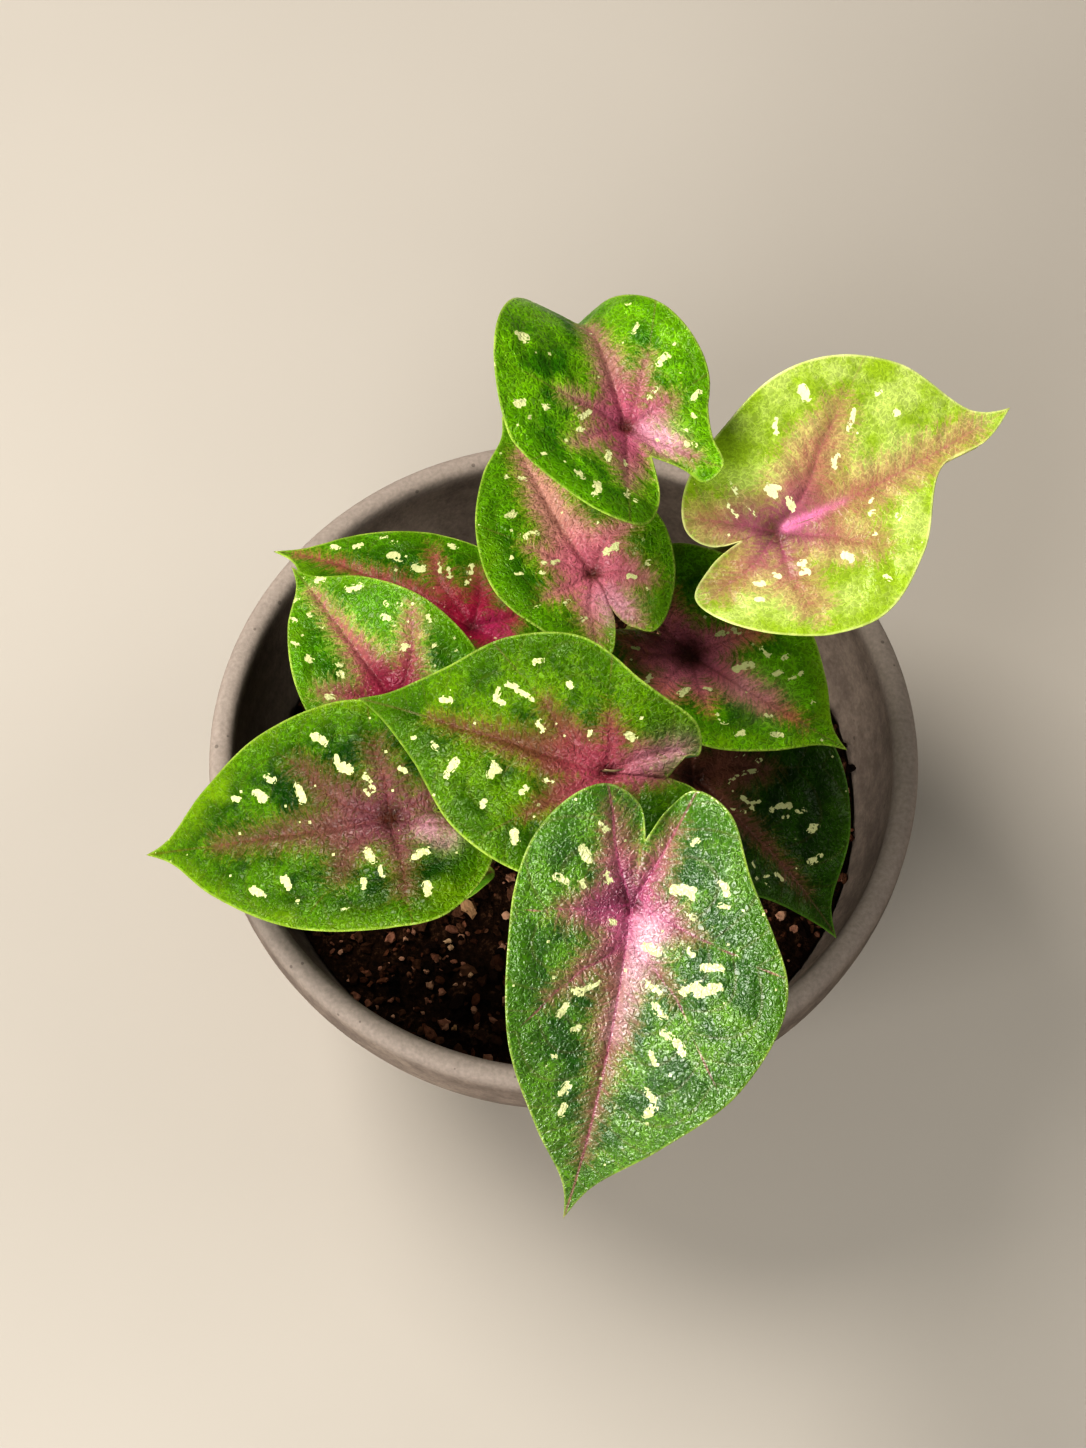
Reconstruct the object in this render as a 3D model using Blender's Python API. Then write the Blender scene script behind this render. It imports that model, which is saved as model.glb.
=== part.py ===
# A young caladium in a round clay bowl: pot, soil, tuber, and a blade and a stalk for each leaf.
# Metres, +Z up. The origin is the centre of the pot's flat base. -Y is the front of the plant.

import math

import bpy
import bmesh
import numpy as np

mm = 0.001
gap = 0.3 * mm              # clearance between pieces that touch on the real plant

# Pot: a turned bowl. Its outside is an arc from the rim down, then a straight slope to the base.
pot_radius = 80 * mm        # outside, at the rim
pot_height = 80 * mm
wall = 5.6 * mm             # wall thickness
floor_thickness = 7 * mm
shoulder_radius = 65 * mm   # radius of the outside's arc, seen in section
slope = math.radians(30)    # lean of the straight lower wall from the vertical
rim_edge = 2.6 * mm         # rounding of the rim's edges
foot_edge = 2 * mm          # rounding under the wall
inner_corner = 3 * mm       # rounding where the floor meets the wall inside
drain_holes = 3
drain_radius = 4 * mm
drain_circle = 24 * mm      # the drain holes stand on this radius
drain_turn = math.radians(97)   # turns the holes off the pot's own corners
pot_sides = 48

# Soil: fills the bowl to a low dome and carries the stalks in plain holes.
soil_edge_height = 50 * mm
soil_dome = 7 * mm          # rise from the wall to the middle
soil_lumps = 0.9 * mm
soil_sides = 40
soil_rings = 9              # rings of points on its top

# Tuber: a flattened ball in the soil, under the stalks.
tuber_radius = 19 * mm
tuber_half_height = 12 * mm
tuber_centre = 36 * mm      # height of its middle
tuber_sides = 24

# Stalks: round, thinner at the blade. The radii are a long stalk's; a short one is thinner.
stalk_foot_radius = 1.9 * mm
stalk_top_radius = 1.15 * mm
full_stalk = 72 * mm        # a stalk at least this long has the full radius
upright = 1.5 * mm          # the stalk stands straight up to this height over the soil
outward_lean = 0.12         # lean away from the plant's middle where the stalk leaves the soil
leaving_share = 0.4         # shares of the stalk's length that its curve takes at each end
arriving_share = 0.3
stalk_sides = 8
stalk_steps = 11

# Blades: a thin bent sheet, divided from the stalk's end outwards.
blade_thickness = 0.8 * mm
margin_thickness = 0.62 * mm
points_per_stretch = 2      # spokes on each of an outline's stretches
blade_rings = (0.3, 0.55, 0.79, 1.0)
wave_height = 1.1 * mm      # waves of the margin
waves = 6


# One half of a blade. width and lobe are in millimetres: half width, and length of the lobe behind
# the stalk. The rest are shares of the width or of the length: reach is how far out the lobe's end
# lies, full its fullness, cut the opening of the notch, widest where the blade is widest, shoulder
# the width two thirds of the way to the tip. fold lifts the half and curl bends it down, in degrees.
def half(width, lobe, reach, full, cut, widest, shoulder, fold, curl):
    return dict(width=width * mm, lobe=lobe * mm, reach=reach, full=full, cut=cut, widest=widest,
                shoulder=shoulder, fold=math.radians(fold), curl=math.radians(curl))


# One leaf. at is the stalk's end in millimetres; heading, pitch and roll turn the blade, in degrees;
# tip is the length from the stalk to the tip and notch the length to the notch behind, in
# millimetres; droop and lobe_droop bend the tip and the lobes down, in degrees; tip_fold is how much
# more the halves rise at the tip, in degrees; bend curves the midrib sideways and lobe_turn swings
# the lobes; foot is where the stalk leaves the soil, as an angle in degrees and a distance in
# millimetres; bow swings the stalk's middle aside, in millimetres, and lean is how far it comes in
# from the lobes' side.
def leaf(at, heading, pitch, roll, tip, notch, left, right, foot, droop=25, lobe_droop=9, bend=0,
         lobe_turn=0, point=1.15, droop_power=1.5, tip_fold=0, bow=(0, 0), lean=0.3, phase=0.0):
    turn = math.radians(foot[0])
    return dict(at=np.array(at) * mm, heading=math.radians(heading), pitch=math.radians(pitch),
                roll=math.radians(roll), tip=tip * mm, notch=notch * mm, left=left, right=right,
                foot=np.array([math.cos(turn), math.sin(turn)]) * foot[1] * mm,
                droop=math.radians(droop), lobe_droop=math.radians(lobe_droop), bend=bend,
                lobe_turn=lobe_turn, point=point, droop_power=droop_power,
                tip_fold=math.radians(tip_fold),
                bow=np.array([bow[0], bow[1], 0]) * mm, lean=lean, phase=phase)


leaves = {
    "back_high": leaf((-21, 22, 100), 147, -3, 8.5, 53.5, 10, foot=(140, 13), bend=0.04, droop=29,
                      left=half(23.5, 22, 0.5, 0.9, 0.15, 0.04, 0.45, 13.5, 10),
                      right=half(19, 22, 0.5, 0.9, 0.15, 0.04, 0.46, 12, 12.5)),
    "back_low": leaf((-36.5, -1.5, 109), 125, 3, -6, 44, 8.5, foot=(178, 13), lobe_turn=-0.3,
                     lobe_droop=12, phase=1.0,
                     left=half(18, 18, 0.5, 0.9, 0.15, 0.02, 0.52, 14.5, 10.5),
                     right=half(21, 18, 0.5, 0.9, 0.15, 0.02, 0.51, 15, 9)),
    "right_low": leaf((28, -17.5, 106), 317, -6, -10, 47.5, 8, foot=(318, 13), lobe_turn=0.1,
                      droop=34, phase=2.0,
                      left=half(29, 15, 0.5, 0.9, 0.15, 0.04, 0.58, 17, 9),
                      right=half(25.5, 15, 0.5, 0.9, 0.15, 0.04, 0.32, 15.5, 9.5)),
    "right": leaf((27, 3, 124), 326, -6, 0, 39.5, 8, foot=(2, 13), bend=0.1, droop=21.5,
                  bow=(-5, 5), phase=3.0,
                  left=half(24, 19.5, 0.5, 0.9, 0.15, 0.04, 0.47, 16, 9),
                  right=half(20.5, 19.5, 0.5, 0.9, 0.15, 0.04, 0.47, 16, 8)),
    "upper": leaf((5, 17, 138), 120, -6, 2, 47.5, 10.5, foot=(100, 5), bend=-0.11, lobe_turn=-0.09,
                  droop=17, lobe_droop=7, point=1.1, phase=4.0,
                  left=half(21.5, 21, 0.24, 0.8, 0.09, 0.01, 0.49, 16.5, 9),
                  right=half(18.5, 21, 0.28, 0.87, 0.1, 0.05, 0.3, 16, 9)),
    "left": leaf((-39.5, -32, 116), 185, -15, -8.5, 58.5, 12, foot=(222, 13), bend=-0.09,
                 lobe_turn=0.02, droop=31, lobe_droop=14.5, phase=5.0,
                 left=half(26, 23.5, 0.41, 0.98, 0.16, -0.02, 0.46, 17, 4.5),
                 right=half(26.5, 25, 0.5, 0.85, 0.16, 0.09, 0.45, 15.5, 10)),
    "centre": leaf((7, -36, 151), 160, -2.5, -11, 57.5, 13.5, foot=(270, 5), bend=-0.03,
                   bow=(-9, -2),
                   lobe_turn=0.25, droop=30, lobe_droop=5.5, point=1.2, phase=6.0,
                   left=half(26, 24.5, 0.51, 0.9, 0.1, 0.14, 0.39, 13, 11),
                   right=half(25, 18, 0.21, 0.64, 0.18, 0.19, 0.42, 18, 6)),
    "lime": leaf((45, 19.5, 150), 22, 7, 7, 56, 8.5, foot=(55, 13), bend=0.11, lobe_turn=-0.14,
                 bow=(0, 22), lean=0.1,
                 droop=8, lobe_droop=1.5, point=1.25, phase=0.5,
                 left=half(29.5, 18, 0.16, 0.68, 0.04, 0.17, 0.7, 19, 6.5),
                 right=half(27.5, 22, 0.34, 0.83, 0.15, 0.2, 0.13, 15, 9.5)),
    "top": leaf((12.7, 36.6, 165), 105, 6.5, 5, 48, 8.7, foot=(95, 13), bend=0.01, lobe_turn=0.44,
                bow=(14, 5), lean=-0.1, droop=110.5, droop_power=1.7, tip_fold=35, lobe_droop=2.5,
                point=1.05, phase=1.5,
                left=half(27.4, 23.6, 0.49, 0.89, 0.18, 0.09, 0.59, 27, 16.5),
                right=half(19.6, 16.4, 0.34, 0.71, 0.25, 0.11, 0.49, 24, 14)),
    "front": leaf((12.5, -71, 157), 261.5, -37, 1, 70, 16.5, foot=(278, 13), bend=-0.09,
                  bow=(-12, 0), lean=-0.25,
                  lobe_turn=-0.08, droop=25, lobe_droop=11.5, point=1.05, phase=2.5,
                  left=half(34, 27, 0.22, 0.65, 0.09, 0.12, 0.45, 17, 6),
                  right=half(23.5, 26.5, 0.43, 0.96, 0.11, 0.09, 0.47, 17.5, 8)),
    "young": leaf((-24, -33.7, 92), 205, -8, 4, 16, 3, foot=(242, 10.5), phase=3.5,
                  left=half(8.5, 7.5, 0.5, 0.92, 0.12, 0, 0.45, 20, 10),
                  right=half(8.5, 7.5, 0.5, 0.92, 0.12, 0, 0.45, 20, 10)),
}

green = (0.07, 0.22, 0.02)
leaf_colours = {"lime": (0.42, 0.62, 0.07), "right_low": (0.03, 0.12, 0.02),
                "young": (0.16, 0.36, 0.04)}


def clear_scene():
    for thing in list(bpy.data.objects):
        bpy.data.objects.remove(thing, do_unlink=True)


def material(name, colour, roughness):
    made = bpy.data.materials.new(name)
    made.use_nodes = True
    shader = made.node_tree.nodes["Principled BSDF"]
    shader.inputs["Base Color"].default_value = (*colour, 1)
    shader.inputs["Roughness"].default_value = roughness
    shader.inputs["Metallic"].default_value = 0
    return made


def solid(name, points, faces, made_of):
    mesh = bpy.data.meshes.new(name)
    mesh.from_pydata([tuple(p) for p in points], [], faces)
    mesh.materials.append(made_of)
    mesh.shade_smooth()
    mesh.set_sharp_from_angle(angle=math.radians(40))
    thing = bpy.data.objects.new(name, mesh)
    bpy.context.scene.collection.objects.link(thing)
    return thing


def turned(name, profile, sides, made_of, lift=None):
    # Turns a closed section of (radius, height) points about Z. Its first and last points lie
    # on the axis. lift adds a height to a point from its place.
    rings = profile[1:-1]
    points = [(0, 0, profile[0][1])]
    for radius, height in rings:
        for k in range(sides):
            turn = 2 * math.pi * k / sides
            points.append((radius * math.cos(turn), radius * math.sin(turn), height))
    points.append((0, 0, profile[-1][1]))
    if lift:
        points = [(x, y, z + lift(x, y, z)) for x, y, z in points]
    faces = []
    for k in range(sides):
        after = (k + 1) % sides
        faces.append((0, 1 + after, 1 + k))
        for ring in range(len(rings) - 1):
            low = 1 + ring * sides
            faces.append((low + k, low + after, low + sides + after, low + sides + k))
        low = 1 + (len(rings) - 1) * sides
        faces.append((low + k, low + after, len(points) - 1))
    return solid(name, points, faces, made_of)


def cut(thing, cutter):
    step = thing.modifiers.new("cut " + cutter.name, "BOOLEAN")
    step.operation = "DIFFERENCE"
    step.solver = "EXACT"
    step.object = cutter
    cutter.hide_render = True
    cutter.display_type = "WIRE"


def round_cutter(name, centre, radius, low, high, sides):
    mesh = bpy.data.meshes.new(name)
    shape = bmesh.new()
    bmesh.ops.create_cone(shape, cap_ends=True, segments=sides, radius1=radius, radius2=radius,
                          depth=high - low)
    shape.to_mesh(mesh)
    shape.free()
    cutter = bpy.data.objects.new(name, mesh)
    cutter.location = (centre[0], centre[1], (low + high) / 2)
    bpy.context.scene.collection.objects.link(cutter)
    return cutter


def outside(height):
    # Radius of the pot's outside at a height.
    arc_bottom = pot_height - rim_edge - shoulder_radius * math.sin(slope)
    middle = pot_radius - shoulder_radius
    if height > arc_bottom:
        down = min(pot_height - rim_edge, height) - (pot_height - rim_edge)
        return middle + math.sqrt(shoulder_radius ** 2 - down ** 2)
    return middle + shoulder_radius * math.cos(slope) - (arc_bottom - height) * math.tan(slope)


def inside(height):
    # Radius of the pot's inside at a height: the outside set in by the wall's slanted thickness.
    lean = math.atan2(outside(height + mm) - outside(height - mm), 2 * mm)
    return outside(height) - wall / math.cos(lean)


def pot():
    foot = outside(0)
    section = [(0, 0), (foot * 0.5, 0), (foot - foot_edge, 0),
               (foot - foot_edge * 0.2, foot_edge * 0.5)]
    section += [(outside(z), z) for z in np.linspace(foot_edge * 1.6, pot_height - rim_edge, 9)]
    for turn in (30, 60, 90):
        turn = math.radians(turn)
        section.append((pot_radius - rim_edge * (1 - math.cos(turn)),
                        pot_height - rim_edge * (1 - math.sin(turn))))
    inner = pot_radius - wall
    section += [(inner + rim_edge * 0.7, pot_height), (inner + rim_edge * 0.2, pot_height - mm),
                (inner, pot_height - rim_edge)]
    section += [(inside(z), z) for z in np.linspace(pot_height - 3 * rim_edge,
                                                    floor_thickness + inner_corner, 8)]
    section += [(inside(floor_thickness) - inner_corner, floor_thickness),
                (inside(floor_thickness) * 0.5, floor_thickness), (0, floor_thickness)]
    bowl = turned("pot", section, pot_sides, material("fired clay", (0.27, 0.24, 0.21), 0.85))
    for k in range(drain_holes):
        turn = drain_turn + 2 * math.pi * k / drain_holes
        place = (drain_circle * math.cos(turn), drain_circle * math.sin(turn))
        cut(bowl, round_cutter(f"drain {k}", place, drain_radius, -floor_thickness,
                               2 * floor_thickness, 16))
    return bowl


def soil_top(x, y):
    # Height of the soil: a low dome with lumps made of a few crossed waves.
    share = min(1.0, math.hypot(x, y) / inside(soil_edge_height))
    lumps = (math.sin(310 * x + 1.3) * math.sin(270 * y + 0.4)
             + 0.6 * math.sin(520 * x - 410 * y) + 0.5 * math.sin(640 * y + 380 * x + 2.0))
    return soil_edge_height + soil_dome * (1 - share ** 2) + soil_lumps * 0.5 * lumps * (1 - share ** 6)


def tuber_height(x, y, extra=0.0):
    # Height of the tuber's upper side, grown by extra.
    away = min(1.0, math.hypot(x, y) / (tuber_radius + extra))
    return tuber_centre + (tuber_half_height + extra) * math.sqrt(1 - away ** 2)


def tuber_section(extra=0.0):
    # The tuber's section from its lowest point to its highest, grown by extra.
    radius, half_height = tuber_radius + extra, tuber_half_height + extra
    turns = np.linspace(-math.pi / 2, math.pi / 2, 11)[1:-1]
    curve = [(radius * math.cos(turn), tuber_centre + half_height * math.sin(turn)) for turn in turns]
    return [(0, tuber_centre - half_height)] + curve + [(0, tuber_centre + half_height)]


def tuber():
    return turned("tuber", tuber_section(), tuber_sides,
                  material("tuber skin", (0.22, 0.13, 0.08), 0.8))


def soil():
    low = floor_thickness + gap
    section = [(0, low), (inside(floor_thickness) * 0.5, low),
               (inside(floor_thickness) - inner_corner - 2 * gap, low)]
    section += [(inside(z) - 2 * gap, z) for z in np.linspace(low + inner_corner,
                                                              soil_edge_height, 6)]
    edge = section[-1][0]
    for k in range(1, soil_rings):
        section.append((edge * (1 - k / soil_rings), soil_edge_height))
    section.append((0, soil_edge_height))

    def lift(x, y, z):
        return soil_top(x, y) - soil_edge_height if z >= soil_edge_height - 1e-9 else 0.0

    fill = turned("soil", section, soil_sides, material("potting soil", (0.03, 0.02, 0.015), 0.95),
                  lift)
    cut(fill, turned("tuber pocket", tuber_section(gap), tuber_sides, None))
    for name, grown in leaves.items():
        cut(fill, round_cutter("hole " + name, grown["foot"], stalk_foot_radius + gap,
                               tuber_centre, pot_height, 12))
    return fill


def smooth_curve(keys, per_stretch):
    # A smooth line through the keys: cubic stretches whose ends share a slope.
    keys = np.array(keys, float)
    step = np.sqrt(np.linalg.norm(np.diff(keys, axis=0), axis=1))
    slopes = np.zeros_like(keys)
    before, after = step[:-1, None], step[1:, None]
    first, second = (keys[1:-1] - keys[:-2]) / before, (keys[2:] - keys[1:-1]) / after
    slopes[1:-1] = (first * after + second * before) / (before + after)
    slopes[0] = 1.5 * (keys[1] - keys[0]) / step[0] - 0.5 * slopes[1]
    slopes[-1] = 1.5 * (keys[-1] - keys[-2]) / step[-1] - 0.5 * slopes[-2]
    s = np.arange(per_stretch)[:, None] / per_stretch
    line = [(2 * s ** 3 - 3 * s ** 2 + 1) * keys[k] + (s ** 3 - 2 * s ** 2 + s) * step[k] * slopes[k]
            + (3 * s ** 2 - 2 * s ** 3) * keys[k + 1] + (s ** 3 - s ** 2) * step[k] * slopes[k + 1]
            for k in range(len(step))]
    return np.concatenate(line + [keys[-1:]])


def half_outline(grown, side):
    # From the tip, round the side and the lobe, to the notch: (along the midrib, across it).
    tip, notch, width, lobe = grown["tip"], grown["notch"], side["width"], side["lobe"]
    keys = [(tip, 0), (0.86 * tip, 0.1 * width * grown["point"]), (0.66 * tip, side["shoulder"] * width),
            ((0.7 + side["widest"]) / 2 * tip, (0.62 + 0.5 * side["shoulder"]) * width),
            (side["widest"] * tip, width), (-0.5 * lobe, side["full"] * width),
            (-0.9 * lobe, (side["reach"] + 0.24) * width), (-lobe, side["reach"] * width),
            (-notch - 0.62 * (lobe - notch), side["cut"] * width), (-notch, 0)]
    return smooth_curve(keys, points_per_stretch)


def outline(grown):
    left = half_outline(grown, grown["left"])
    right = half_outline(grown, grown["right"]) * (1, -1)
    return np.concatenate([left, right[-2:0:-1]])


def axes(grown):
    # The blade's own directions where the stalk joins it: to the tip, to its left, and up.
    heading, pitch, roll = grown["heading"], grown["pitch"], grown["roll"]
    ahead = np.array([math.cos(heading) * math.cos(pitch), math.sin(heading) * math.cos(pitch),
                      math.sin(pitch)])
    level = np.array([-math.sin(heading), math.cos(heading), 0])
    left = level * math.cos(roll) + np.cross(ahead, level) * math.sin(roll)
    return ahead, left, np.cross(ahead, left)


def running_mean(of, reach, steps=24):
    # The integral of a function from 0 to each reach.
    share = (np.arange(steps) + 0.5) / steps
    return of(reach[..., None] * share).mean(-1) * reach


def bent(grown, flat):
    # Bends points of the flat blade (along, across) into space: down towards the tip and the lobes,
    # and each half up from the midrib and down again.
    ahead, left, up = axes(grown)
    u, v = flat[:, 0], flat[:, 1]
    tip, lobe = grown["tip"], max(grown["left"]["lobe"], grown["right"]["lobe"])
    width = (grown["left"]["width"] + grown["right"]["width"]) / 2

    def tilt(x):
        toward_tip = -grown["droop"] * np.clip(x / tip, 0, 1.2) ** grown["droop_power"]
        return np.where(x > 0, toward_tip, grown["lobe_droop"] * np.clip(-x / lobe, 0, 1.2))

    fold = np.where(v >= 0, grown["left"]["fold"], grown["right"]["fold"])
    fold = (fold + grown["tip_fold"] * np.clip(u / tip, 0, 1) ** 2)[:, None]
    curl = np.where(v >= 0, grown["left"]["curl"], grown["right"]["curl"])[:, None]

    def rise(x):
        return fold * np.tanh(x / (0.12 * width)) - curl * x / width

    along = running_mean(lambda x: np.cos(tilt(x)), u)
    down = running_mean(lambda x: np.sin(tilt(x)), u)
    across = running_mean(lambda x: np.cos(rise(x)), abs(v)) * np.sign(v)
    high = running_mean(lambda x: np.sin(rise(x)), abs(v))
    across = across + np.where(u > 0, grown["bend"] * u * abs(u) / tip,
                               -grown["lobe_turn"] * (np.sqrt(u ** 2 + 0.01 * lobe ** 2) - 0.1 * lobe))
    return (grown["at"] + np.outer(along - np.sin(tilt(u)) * high, ahead) + np.outer(across, left)
            + np.outer(down + np.cos(tilt(u)) * high, up))


def blade(name, grown):
    rim = outline(grown)
    spokes = len(rim)
    flat = np.concatenate([[(0, 0)]] + [share * rim for share in blade_rings])
    sheet = bent(grown, flat)
    up = axes(grown)[2]
    for ring, share in enumerate(blade_rings):
        turn = 2 * math.pi * np.arange(spokes) / spokes
        wave = wave_height * share ** 3 * np.sin(waves * turn + grown["phase"]) * np.sin(turn / 2)
        wave *= grown["left"]["width"] / (25 * mm)
        start = 1 + ring * spokes
        sheet[start:start + spokes] += np.outer(wave, up)

    triangles = []
    for k in range(spokes):
        after = (k + 1) % spokes
        triangles.append((0, 1 + k, 1 + after))
        for ring in range(len(blade_rings) - 1):
            low = 1 + ring * spokes
            high = low + spokes
            triangles += [(low + k, high + k, high + after), (low + k, high + after, low + after)]
    corners = sheet[np.array(triangles)]
    tilt = np.cross(corners[:, 1] - corners[:, 0], corners[:, 2] - corners[:, 0])
    normals = np.zeros_like(sheet)
    for corner in range(3):
        np.add.at(normals, np.array(triangles)[:, corner], tilt)
    normals /= np.linalg.norm(normals, axis=1)[:, None]
    share = np.concatenate([[0]] + [[s] * spokes for s in blade_rings])
    half_thick = (blade_thickness + (margin_thickness - blade_thickness) * share) / 2

    points = np.concatenate([sheet + normals * half_thick[:, None], sheet - normals * half_thick[:, None]])
    count = len(sheet)
    faces = list(triangles) + [(a + count, c + count, b + count) for a, b, c in triangles]
    first = 1 + (len(blade_rings) - 1) * spokes
    for k in range(spokes):
        here, after = first + k, first + (k + 1) % spokes
        faces += [(here, here + count, after + count), (here, after + count, after)]
    colour = leaf_colours.get(name, green)
    return solid("blade_" + name, points, faces, material("leaf " + name, colour, 0.35))


def stalk(name, grown):
    ahead, left, up = axes(grown)
    foot_x, foot_y = grown["foot"]
    ground = soil_top(foot_x, foot_y) + upright
    foot = np.array([foot_x, foot_y, ground])
    end = grown["at"] - up * (blade_thickness / 2 + gap)
    length = np.linalg.norm(end - foot)
    outward = np.array([foot_x, foot_y, 0]) / math.hypot(foot_x, foot_y)
    leaving = foot + (np.array([0, 0, 1]) + outward_lean * outward) * length * leaving_share
    arriving = end - (0.85 * up + grown["lean"] * ahead) * length * arriving_share
    leaving, arriving = leaving + grown["bow"], arriving + grown["bow"] * 0.6
    s = np.linspace(0, 1, stalk_steps)[:, None]
    line = ((1 - s) ** 3 * foot + 3 * s * (1 - s) ** 2 * leaving + 3 * s ** 2 * (1 - s) * arriving
            + s ** 3 * end)

    thin = 0.55 + 0.45 * min(1.0, length / full_stalk)
    turns = 2 * math.pi * np.arange(stalk_sides) / stalk_sides
    round_foot = np.stack([np.cos(turns), np.sin(turns), 0 * turns], -1)
    root = foot + round_foot * stalk_foot_radius * thin
    for point in root:
        point[2] = tuber_height(point[0], point[1], gap)
    rings = [root, foot + round_foot * stalk_foot_radius * thin]
    level = np.array([1.0, 0, 0])
    for k in range(1, stalk_steps - 1):
        along = line[k + 1] - line[k - 1]
        along /= np.linalg.norm(along)
        level -= along * (level @ along)
        level /= np.linalg.norm(level)
        share = k / (stalk_steps - 1)
        radius = (stalk_foot_radius + (stalk_top_radius - stalk_foot_radius) * share) * thin
        rings.append(line[k] + radius * (np.outer(np.cos(turns), level)
                                         + np.outer(np.sin(turns), np.cross(along, level))))
    level -= up * (level @ up)
    level /= np.linalg.norm(level)
    rings.append(end + stalk_top_radius * thin * (np.outer(np.cos(turns), level)
                                                  + np.outer(np.sin(turns), np.cross(up, level))))
    points = np.concatenate(rings + [root.mean(0)[None], end[None]])
    faces = []
    base, top = len(points) - 2, len(points) - 1
    last = (len(rings) - 1) * stalk_sides
    for k in range(stalk_sides):
        after = (k + 1) % stalk_sides
        faces += [(base, after, k), (top, last + k, last + after)]
        for ring in range(len(rings) - 1):
            low = ring * stalk_sides
            high = low + stalk_sides
            faces.append((low + k, low + after, high + after, high + k))
    return solid("stalk_" + name, points, faces, material("stalk " + name, (0.32, 0.3, 0.12), 0.4))


clear_scene()
pot()
tuber()
soil()
for leaf_name, grown_leaf in leaves.items():
    blade(leaf_name, grown_leaf)
    stalk(leaf_name, grown_leaf)
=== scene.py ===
import math
import bpy
import numpy as np
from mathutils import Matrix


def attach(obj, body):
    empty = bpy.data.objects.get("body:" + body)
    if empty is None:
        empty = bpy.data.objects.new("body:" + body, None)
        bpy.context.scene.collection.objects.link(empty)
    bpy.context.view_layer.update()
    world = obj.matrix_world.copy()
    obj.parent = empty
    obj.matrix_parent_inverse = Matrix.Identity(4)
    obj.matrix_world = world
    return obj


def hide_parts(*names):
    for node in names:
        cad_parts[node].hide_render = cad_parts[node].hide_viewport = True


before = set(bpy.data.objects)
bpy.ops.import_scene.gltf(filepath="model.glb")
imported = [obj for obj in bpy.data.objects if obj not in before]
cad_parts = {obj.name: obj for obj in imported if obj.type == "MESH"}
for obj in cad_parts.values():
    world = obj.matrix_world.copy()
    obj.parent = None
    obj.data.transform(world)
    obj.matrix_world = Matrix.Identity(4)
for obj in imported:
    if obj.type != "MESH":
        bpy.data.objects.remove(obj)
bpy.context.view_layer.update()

mm = 0.001
mmPerUv = 200.0      # the UV map's unit square is this wide, so that every leaf and stalk fits in it
fullTurn = 2 * math.pi


def linear(hexColour):  # an sRGB hex colour as linear red, green, blue and alpha
    parts = [int(hexColour[k:k + 2], 16) / 255 for k in (1, 3, 5)]
    return tuple(c / 12.92 if c <= 0.04045 else ((c + 0.055) / 1.055) ** 2.4 for c in parts) + (1.0,)


def add(tree, kind, inputs, out=0, stops=(), **settings):
    # Adds a shader node with its settings, and gives each socket a value or another node's output.
    # inputs names the sockets, or lists their values from the first on, which for a Map Range are
    # the value, from low, from high, to low, to high, and for a Math node what it works on.
    made = tree.nodes.new("ShaderNode" + kind)
    for key, value in settings.items():
        setattr(made, key, value)
    for place, colour in stops[1:-1]:
        made.color_ramp.elements.new(place).color = linear(colour)
    for end in (0, -1) if stops else ():      # a new ramp has black at its start and white at its end
        made.color_ramp.elements[end].position = stops[end][0]
        made.color_ramp.elements[end].color = linear(stops[end][1])
    for key, value in (inputs if isinstance(inputs, dict) else dict(enumerate(inputs))).items():
        if isinstance(value, bpy.types.NodeSocket):
            tree.links.new(value, made.inputs[key])
        else:
            made.inputs[key].default_value = value
    return made.outputs[out]


smooth = dict(interpolation_type="SMOOTHSTEP")      # settings that many nodes share
ofColours = dict(out=2, data_type="RGBA")


def newFinish(name, roughness, ior, coat=0.0, coatRoughness=0.2, specular=0.5):
    made = bpy.data.materials.new(name)
    made.use_nodes = True
    shader = made.node_tree.nodes["Principled BSDF"]
    for socket, value in (("Roughness", roughness), ("IOR", ior), ("Coat Weight", coat),
                          ("Coat Roughness", coatRoughness), ("Specular IOR Level", specular)):
        shader.inputs[socket].default_value = value
    return made, made.node_tree


def dress(made, colour, height=None, strength=0.0, depth=0.0, sockets=("Normal",)):
    # Gives a finish its colour and its relief, which is depth mm high, and hands the finish back.
    tree = made.node_tree
    shader = tree.nodes["Principled BSDF"]
    tree.links.new(colour, shader.inputs["Base Color"])
    if height:
        bumps = add(tree, "Bump", {"Height": height, "Strength": strength, "Distance": depth * mm})
        for socket in sockets:
            tree.links.new(bumps, shader.inputs[socket])
    return made


def newPiece(name, points, faceGroups, finishes, slotOfFace=None, fields=None, flat=None):
    # A mesh from an array of points and arrays of triangles or quads. fields are numbers for each
    # point, and flat gives each point its place in the plane for the UV map, in mm.
    mesh = bpy.data.meshes.new(name)
    mesh.vertices.add(len(points))
    mesh.vertices.foreach_set("co", np.asarray(points, np.float32).ravel())
    corners = np.concatenate([group.ravel() for group in faceGroups]).astype(np.int32)
    sizes = np.concatenate([np.full(len(group), group.shape[1]) for group in faceGroups])
    starts = np.concatenate([[0], np.cumsum(sizes)[:-1]]).astype(np.int32)
    mesh.loops.add(len(corners))
    mesh.loops.foreach_set("vertex_index", corners)
    mesh.polygons.add(len(starts))
    mesh.polygons.foreach_set("loop_start", starts)
    mesh.update(calc_edges=True)
    for finish in finishes:
        mesh.materials.append(finish)
    if slotOfFace is not None:
        mesh.polygons.foreach_set("material_index", np.asarray(slotOfFace, np.int32))
    for key, values in (fields or {}).items():
        mesh.attributes.new(key, "FLOAT", "POINT").data.foreach_set("value", np.asarray(values, np.float32))
    if flat is not None:
        layer = mesh.uv_layers.new(name="flat")
        layer.data.foreach_set("uv", (flat[corners] / mmPerUv + 0.5).astype(np.float32).ravel())
    mesh.shade_smooth()
    piece = bpy.data.objects.new(name, mesh)
    bpy.context.scene.collection.objects.link(piece)
    return piece


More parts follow.
